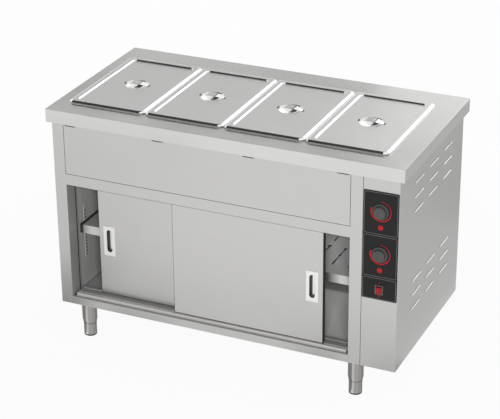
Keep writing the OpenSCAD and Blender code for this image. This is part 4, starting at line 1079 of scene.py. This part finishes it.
# Heating and services
# Sheathed heating elements under the tank and at the back of the cupboard, thermostats behind the fascia,
# a moulded cable gland low on the rear panel, and round-headed screws that hold the panel.
GLAND_RADIUS = 13
GLAND_BORE = 6
GLAND_OUT = 9
GLAND_EDGE = 0.4
GLAND_OUTLINE = [
    (GLAND_BORE, 0), (GLAND_RADIUS, 0), (GLAND_RADIUS, 3.5), (GLAND_RADIUS - 1.5, 4.2),
    (GLAND_RADIUS - 2.5, 7.5), (GLAND_RADIUS - 4.5, GLAND_OUT), (GLAND_BORE, GLAND_OUT), (GLAND_BORE, 0),
]
SCREW_COUNT = 6
SCREW_RADIUS = 5
SCREW_OUT = 2.5
SCREW_OUTLINE = [(0, 1.2), (1.6, 1.2), (1.6, SCREW_OUT - 0.1), (2.4, SCREW_OUT), (3.8, SCREW_OUT - 0.5),
                 (4.7, SCREW_OUT - 1.3), (SCREW_RADIUS, 0), (0, 0)]
FACING_BACK = Matrix.Rotation(math.radians(-90), 4, "X")
element_steel = brushed_steel("element_steel", (0.16, 0.14, 0.125), 0.38)
stat_plastic = moulded_plastic("stat_plastic", (0.62, 0.58, 0.46), 0.5)
gland_plastic = moulded_plastic("gland_plastic", (0.02, 0.02, 0.02), 0.5)
screw_steel = brushed_steel("screw_steel", (0.55, 0.545, 0.535), 0.25)
dress(element_steel, "heating_elements")
dress(stat_plastic, "thermostats")

gland_low, gland_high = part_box("cable_gland")
back_face = gland_low.y
gland_middle = ((gland_low.x + gland_high.x) / 2, back_face, (gland_low.z + gland_high.z) / 2)
gland = moved(turned(GLAND_OUTLINE), Matrix.Translation(gland_middle) @ FACING_BACK)
fit_piece(soften(gland, GLAND_EDGE), "gland_nut", gland_plastic, ["cable_gland"])

screws_low, screws_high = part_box("rear_screws")
first_x = screws_low.x + SCREW_RADIUS * MM
pitch = (screws_high.x - screws_low.x - 2 * SCREW_RADIUS * MM) / (SCREW_COUNT - 1)
screws = bmesh.new()
for level in (screws_low.z + SCREW_RADIUS * MM, screws_high.z - SCREW_RADIUS * MM):
    for number in range(SCREW_COUNT):
        place = Matrix.Translation((first_x + number * pitch, back_face, level))
        add_part(screws, turned(SCREW_OUTLINE, SMALL_STEPS), place @ FACING_BACK)
fit_piece(screws, "rear_panel_screws", screw_steel, ["rear_screws"])

# Studio
# A pale floor that keeps a soft shadow, white surroundings, and two softboxes, of which the steel mirrors
# only the one behind. Cards from dark to bright show in reflections alone. The camera stands where the
# photograph's did.
BACKGROUND = 0.985
AMBIENT = 0.25
FLOOR_RADIUS = 9
FLOOR_STEPS = 64
FLOOR_DROP = 0.3 * MM
FLOOR_TINT = (0.86, 0.86, 0.86, 1)
FLOOR_ROUGHNESS = 0.9
FADE_RADII = (0.6, 2.2)
FADE_SHARES = (0.95, 1)
BAND_DEPTH = 3.9
BAND_LEVEL = 2.78
BAND_FALL = 0.145
CARD_RISE = 3 * MM
UPPER_RISE = 4 * MM
SECTOR_RADII = (0.0265, 0.36)
SECTOR_STEPS = 12
LEG_SECTORS = [(-180, -58, 0.28), (-26, 35, 0.50), (35, 85, 0.42), (85, 180, 0.28)]
CAMERA_AZIMUTH = math.radians(24.47)
CAMERA_ELEVATION = math.radians(25.29)
CAMERA_ROLL = math.radians(-0.51)
CAMERA_PLACE = (2.58952, -5.77273, 3.52656)
FOCAL_PIXELS = 1772.47
IMAGE_WIDTH = 500
SENSOR_WIDTH = 36
FAR_LIMIT = 100


def seen_directly(tree):
    path = tree.nodes.new("ShaderNodeLightPath").outputs
    shown = calculate(tree, "MAXIMUM", path["Is Camera Ray"], path["Is Glossy Ray"])
    return calculate(tree, "MAXIMUM", shown, path["Is Transmission Ray"])


def softbox(name, place, aim, width, height, brightness):
    lamp = bpy.data.lights.new(name, "AREA")
    lamp.shape = "RECTANGLE"
    lamp.size = width
    lamp.size_y = height
    lamp.energy = brightness * math.pi * width * height
    box = into_scene(name, lamp)
    box.location = place
    box.rotation_euler = (Vector(aim) - Vector(place)).to_track_quat("-Z", "Y").to_euler()
    return box


def card_sheet(x, y, z, width, depth):
    corners = ((-0.5, -0.5), (0.5, -0.5), (0.5, 0.5), (-0.5, 0.5))
    return flat_sheet([(x + width * along, y + depth * across, z) for along, across in corners])


def card_band(left, right, low, high):
    lines = [(x, BAND_LEVEL - BAND_FALL * x) for x in (left, right)]
    lower = [(x, BAND_DEPTH, z + low) for x, z in lines]
    upper = [(x, BAND_DEPTH, z + high) for x, z in reversed(lines)]
    return flat_sheet([*lower, *upper])


def card_sector(centre, start, end):
    bm = bmesh.new()
    heading = Vector((math.sin(start), -math.cos(start), 0))
    ends = [Vector(centre) + heading * radius for radius in SECTOR_RADII]
    sweep_edge(bm, ends, centre, end - start, SECTOR_STEPS)
    return bm


def reflected_card(name, bm, tone):
    paint, tree = new_material(name)
    glow = add_node(tree, "ShaderNodeEmission", {"Strength": tone})["Emission"]
    tree.links.new(glow, tree.nodes["Material Output"].inputs["Surface"])
    card = mesh_object(name, bm, paint)
    card.visible_camera = False
    card.visible_diffuse = False
    card.visible_transmission = False
    card.visible_shadow = False


world = bpy.data.worlds.new("white_studio")
bpy.context.scene.world = world
world.use_nodes = True
tree = world.node_tree
surroundings = tree.nodes["Background"].inputs
surroundings["Color"].default_value = (1, 1, 1, 1)
tree.links.new(ramp(tree, seen_directly(tree), 0, 1, AMBIENT, BACKGROUND), surroundings["Strength"])

floor_paint, tree = new_material("floor_paint")
matt = tree.nodes["Principled BSDF"]
matt.inputs["Base Color"].default_value = FLOOR_TINT
matt.inputs["Roughness"].default_value = FLOOR_ROUGHNESS
place = tree.nodes.new("ShaderNodeTexCoord").outputs["Object"]
distance = add_node(tree, "ShaderNodeVectorMath", {"Vector": place}, operation="LENGTH")["Value"]
fade = ramp(tree, distance, *FADE_RADII, *FADE_SHARES)
share = calculate(tree, "MULTIPLY", fade, seen_directly(tree))
glow = add_node(tree, "ShaderNodeEmission", {"Strength": BACKGROUND})["Emission"]
blend = add_node(tree, "ShaderNodeMixShader", {"Fac": share, 1: matt.outputs["BSDF"], 2: glow})["Shader"]
tree.links.new(blend, tree.nodes["Material Output"].inputs["Surface"])
disc = bmesh.new()
bmesh.ops.create_circle(disc, cap_ends=True, segments=FLOOR_STEPS, radius=FLOOR_RADIUS,
                        matrix=Matrix.Translation((0, 0, -FLOOR_DROP)))
floor = mesh_object("studio_floor", disc, floor_paint)

reflected_card("ceiling_card", card_sheet(-12.2, -1, 20, 16, 46), 0.05)
reflected_card("back_left_card", card_band(-3.9, -2.75, -1.0, 0), 0.45)
reflected_card("back_card", card_band(-2.75, -1.8, -1.0, 0), 0.66)
reflected_card("back_middle_card", card_band(-1.8, -0.92, -1.0, 0), 0.62)
reflected_card("back_right_card", card_band(-0.92, -0.15, -1.0, -0.02), 1.1)
reflected_card("back_bar", card_band(-2.6, -0.15, 0, 0.26), 0.03)
reflected_card("back_top_card", card_band(-2.2, -0.1, 0.26, 1), 1.25)
reflected_card("right_floor_card", card_sheet(2.0, 1.5, CARD_RISE, 2.4, 4.2), 0.66)
reflected_card("far_right_card", card_sheet(1.7, 2.5, UPPER_RISE, 2.0, 2.4), 0.56)
reflected_card("left_floor_card", card_sheet(-1.8, 0.55, CARD_RISE, 2.1, 2.9), 0.12)
reflected_card("under_card", card_sheet(0, 0.04, CARD_RISE, 1.3, 0.62), 0.10)
reflected_card("near_floor_card", card_sheet(-0.2, -0.65, CARD_RISE, 2.6, 0.6), 0.78)
reflected_card("front_left_card", card_sheet(-1.9, -1.4, UPPER_RISE, 1.8, 1.9), 0.82)
for number in (1, 2):
    foot_low, foot_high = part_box(f"foot_{number}")
    spot = centred(foot_low, foot_high, UPPER_RISE)
    for start, end, tone in LEG_SECTORS:
        turns = [CAMERA_AZIMUTH + math.radians(turn) for turn in (start, end)]
        reflected_card(f"leg_{number}_card_{start + 180}", card_sector(spot, *turns), tone)
softbox("back_right_softbox", (1.3, 4.2, 2.9), (0.2, 0, 0.8), 3.0, 2.8, brightness=1.2)
camera_side = softbox("camera_side_softbox", (3.15, -6.9, 3.5), (0, 0, 0.5), 2.4, 2.0, brightness=36)
camera_side.visible_glossy = False

back = Vector((math.sin(CAMERA_AZIMUTH) * math.cos(CAMERA_ELEVATION),
               -math.cos(CAMERA_AZIMUTH) * math.cos(CAMERA_ELEVATION), math.sin(CAMERA_ELEVATION)))
level_right = Vector((math.cos(CAMERA_AZIMUTH), math.sin(CAMERA_AZIMUTH), 0))
level_up = back.cross(level_right)
right = math.cos(CAMERA_ROLL) * level_right + math.sin(CAMERA_ROLL) * level_up
up = math.cos(CAMERA_ROLL) * level_up - math.sin(CAMERA_ROLL) * level_right
lens = bpy.data.cameras.new("photo_camera")
lens.sensor_fit = "HORIZONTAL"
lens.sensor_width = SENSOR_WIDTH
lens.lens = FOCAL_PIXELS * SENSOR_WIDTH / IMAGE_WIDTH
lens.clip_end = FAR_LIMIT
camera = into_scene("photo_camera", lens)
turn = Matrix((right, up, back)).transposed()
camera.matrix_world = Matrix.Translation(CAMERA_PLACE) @ turn.to_4x4()
bpy.context.scene.camera = camera
bpy.context.scene.view_settings.view_transform = "Standard"
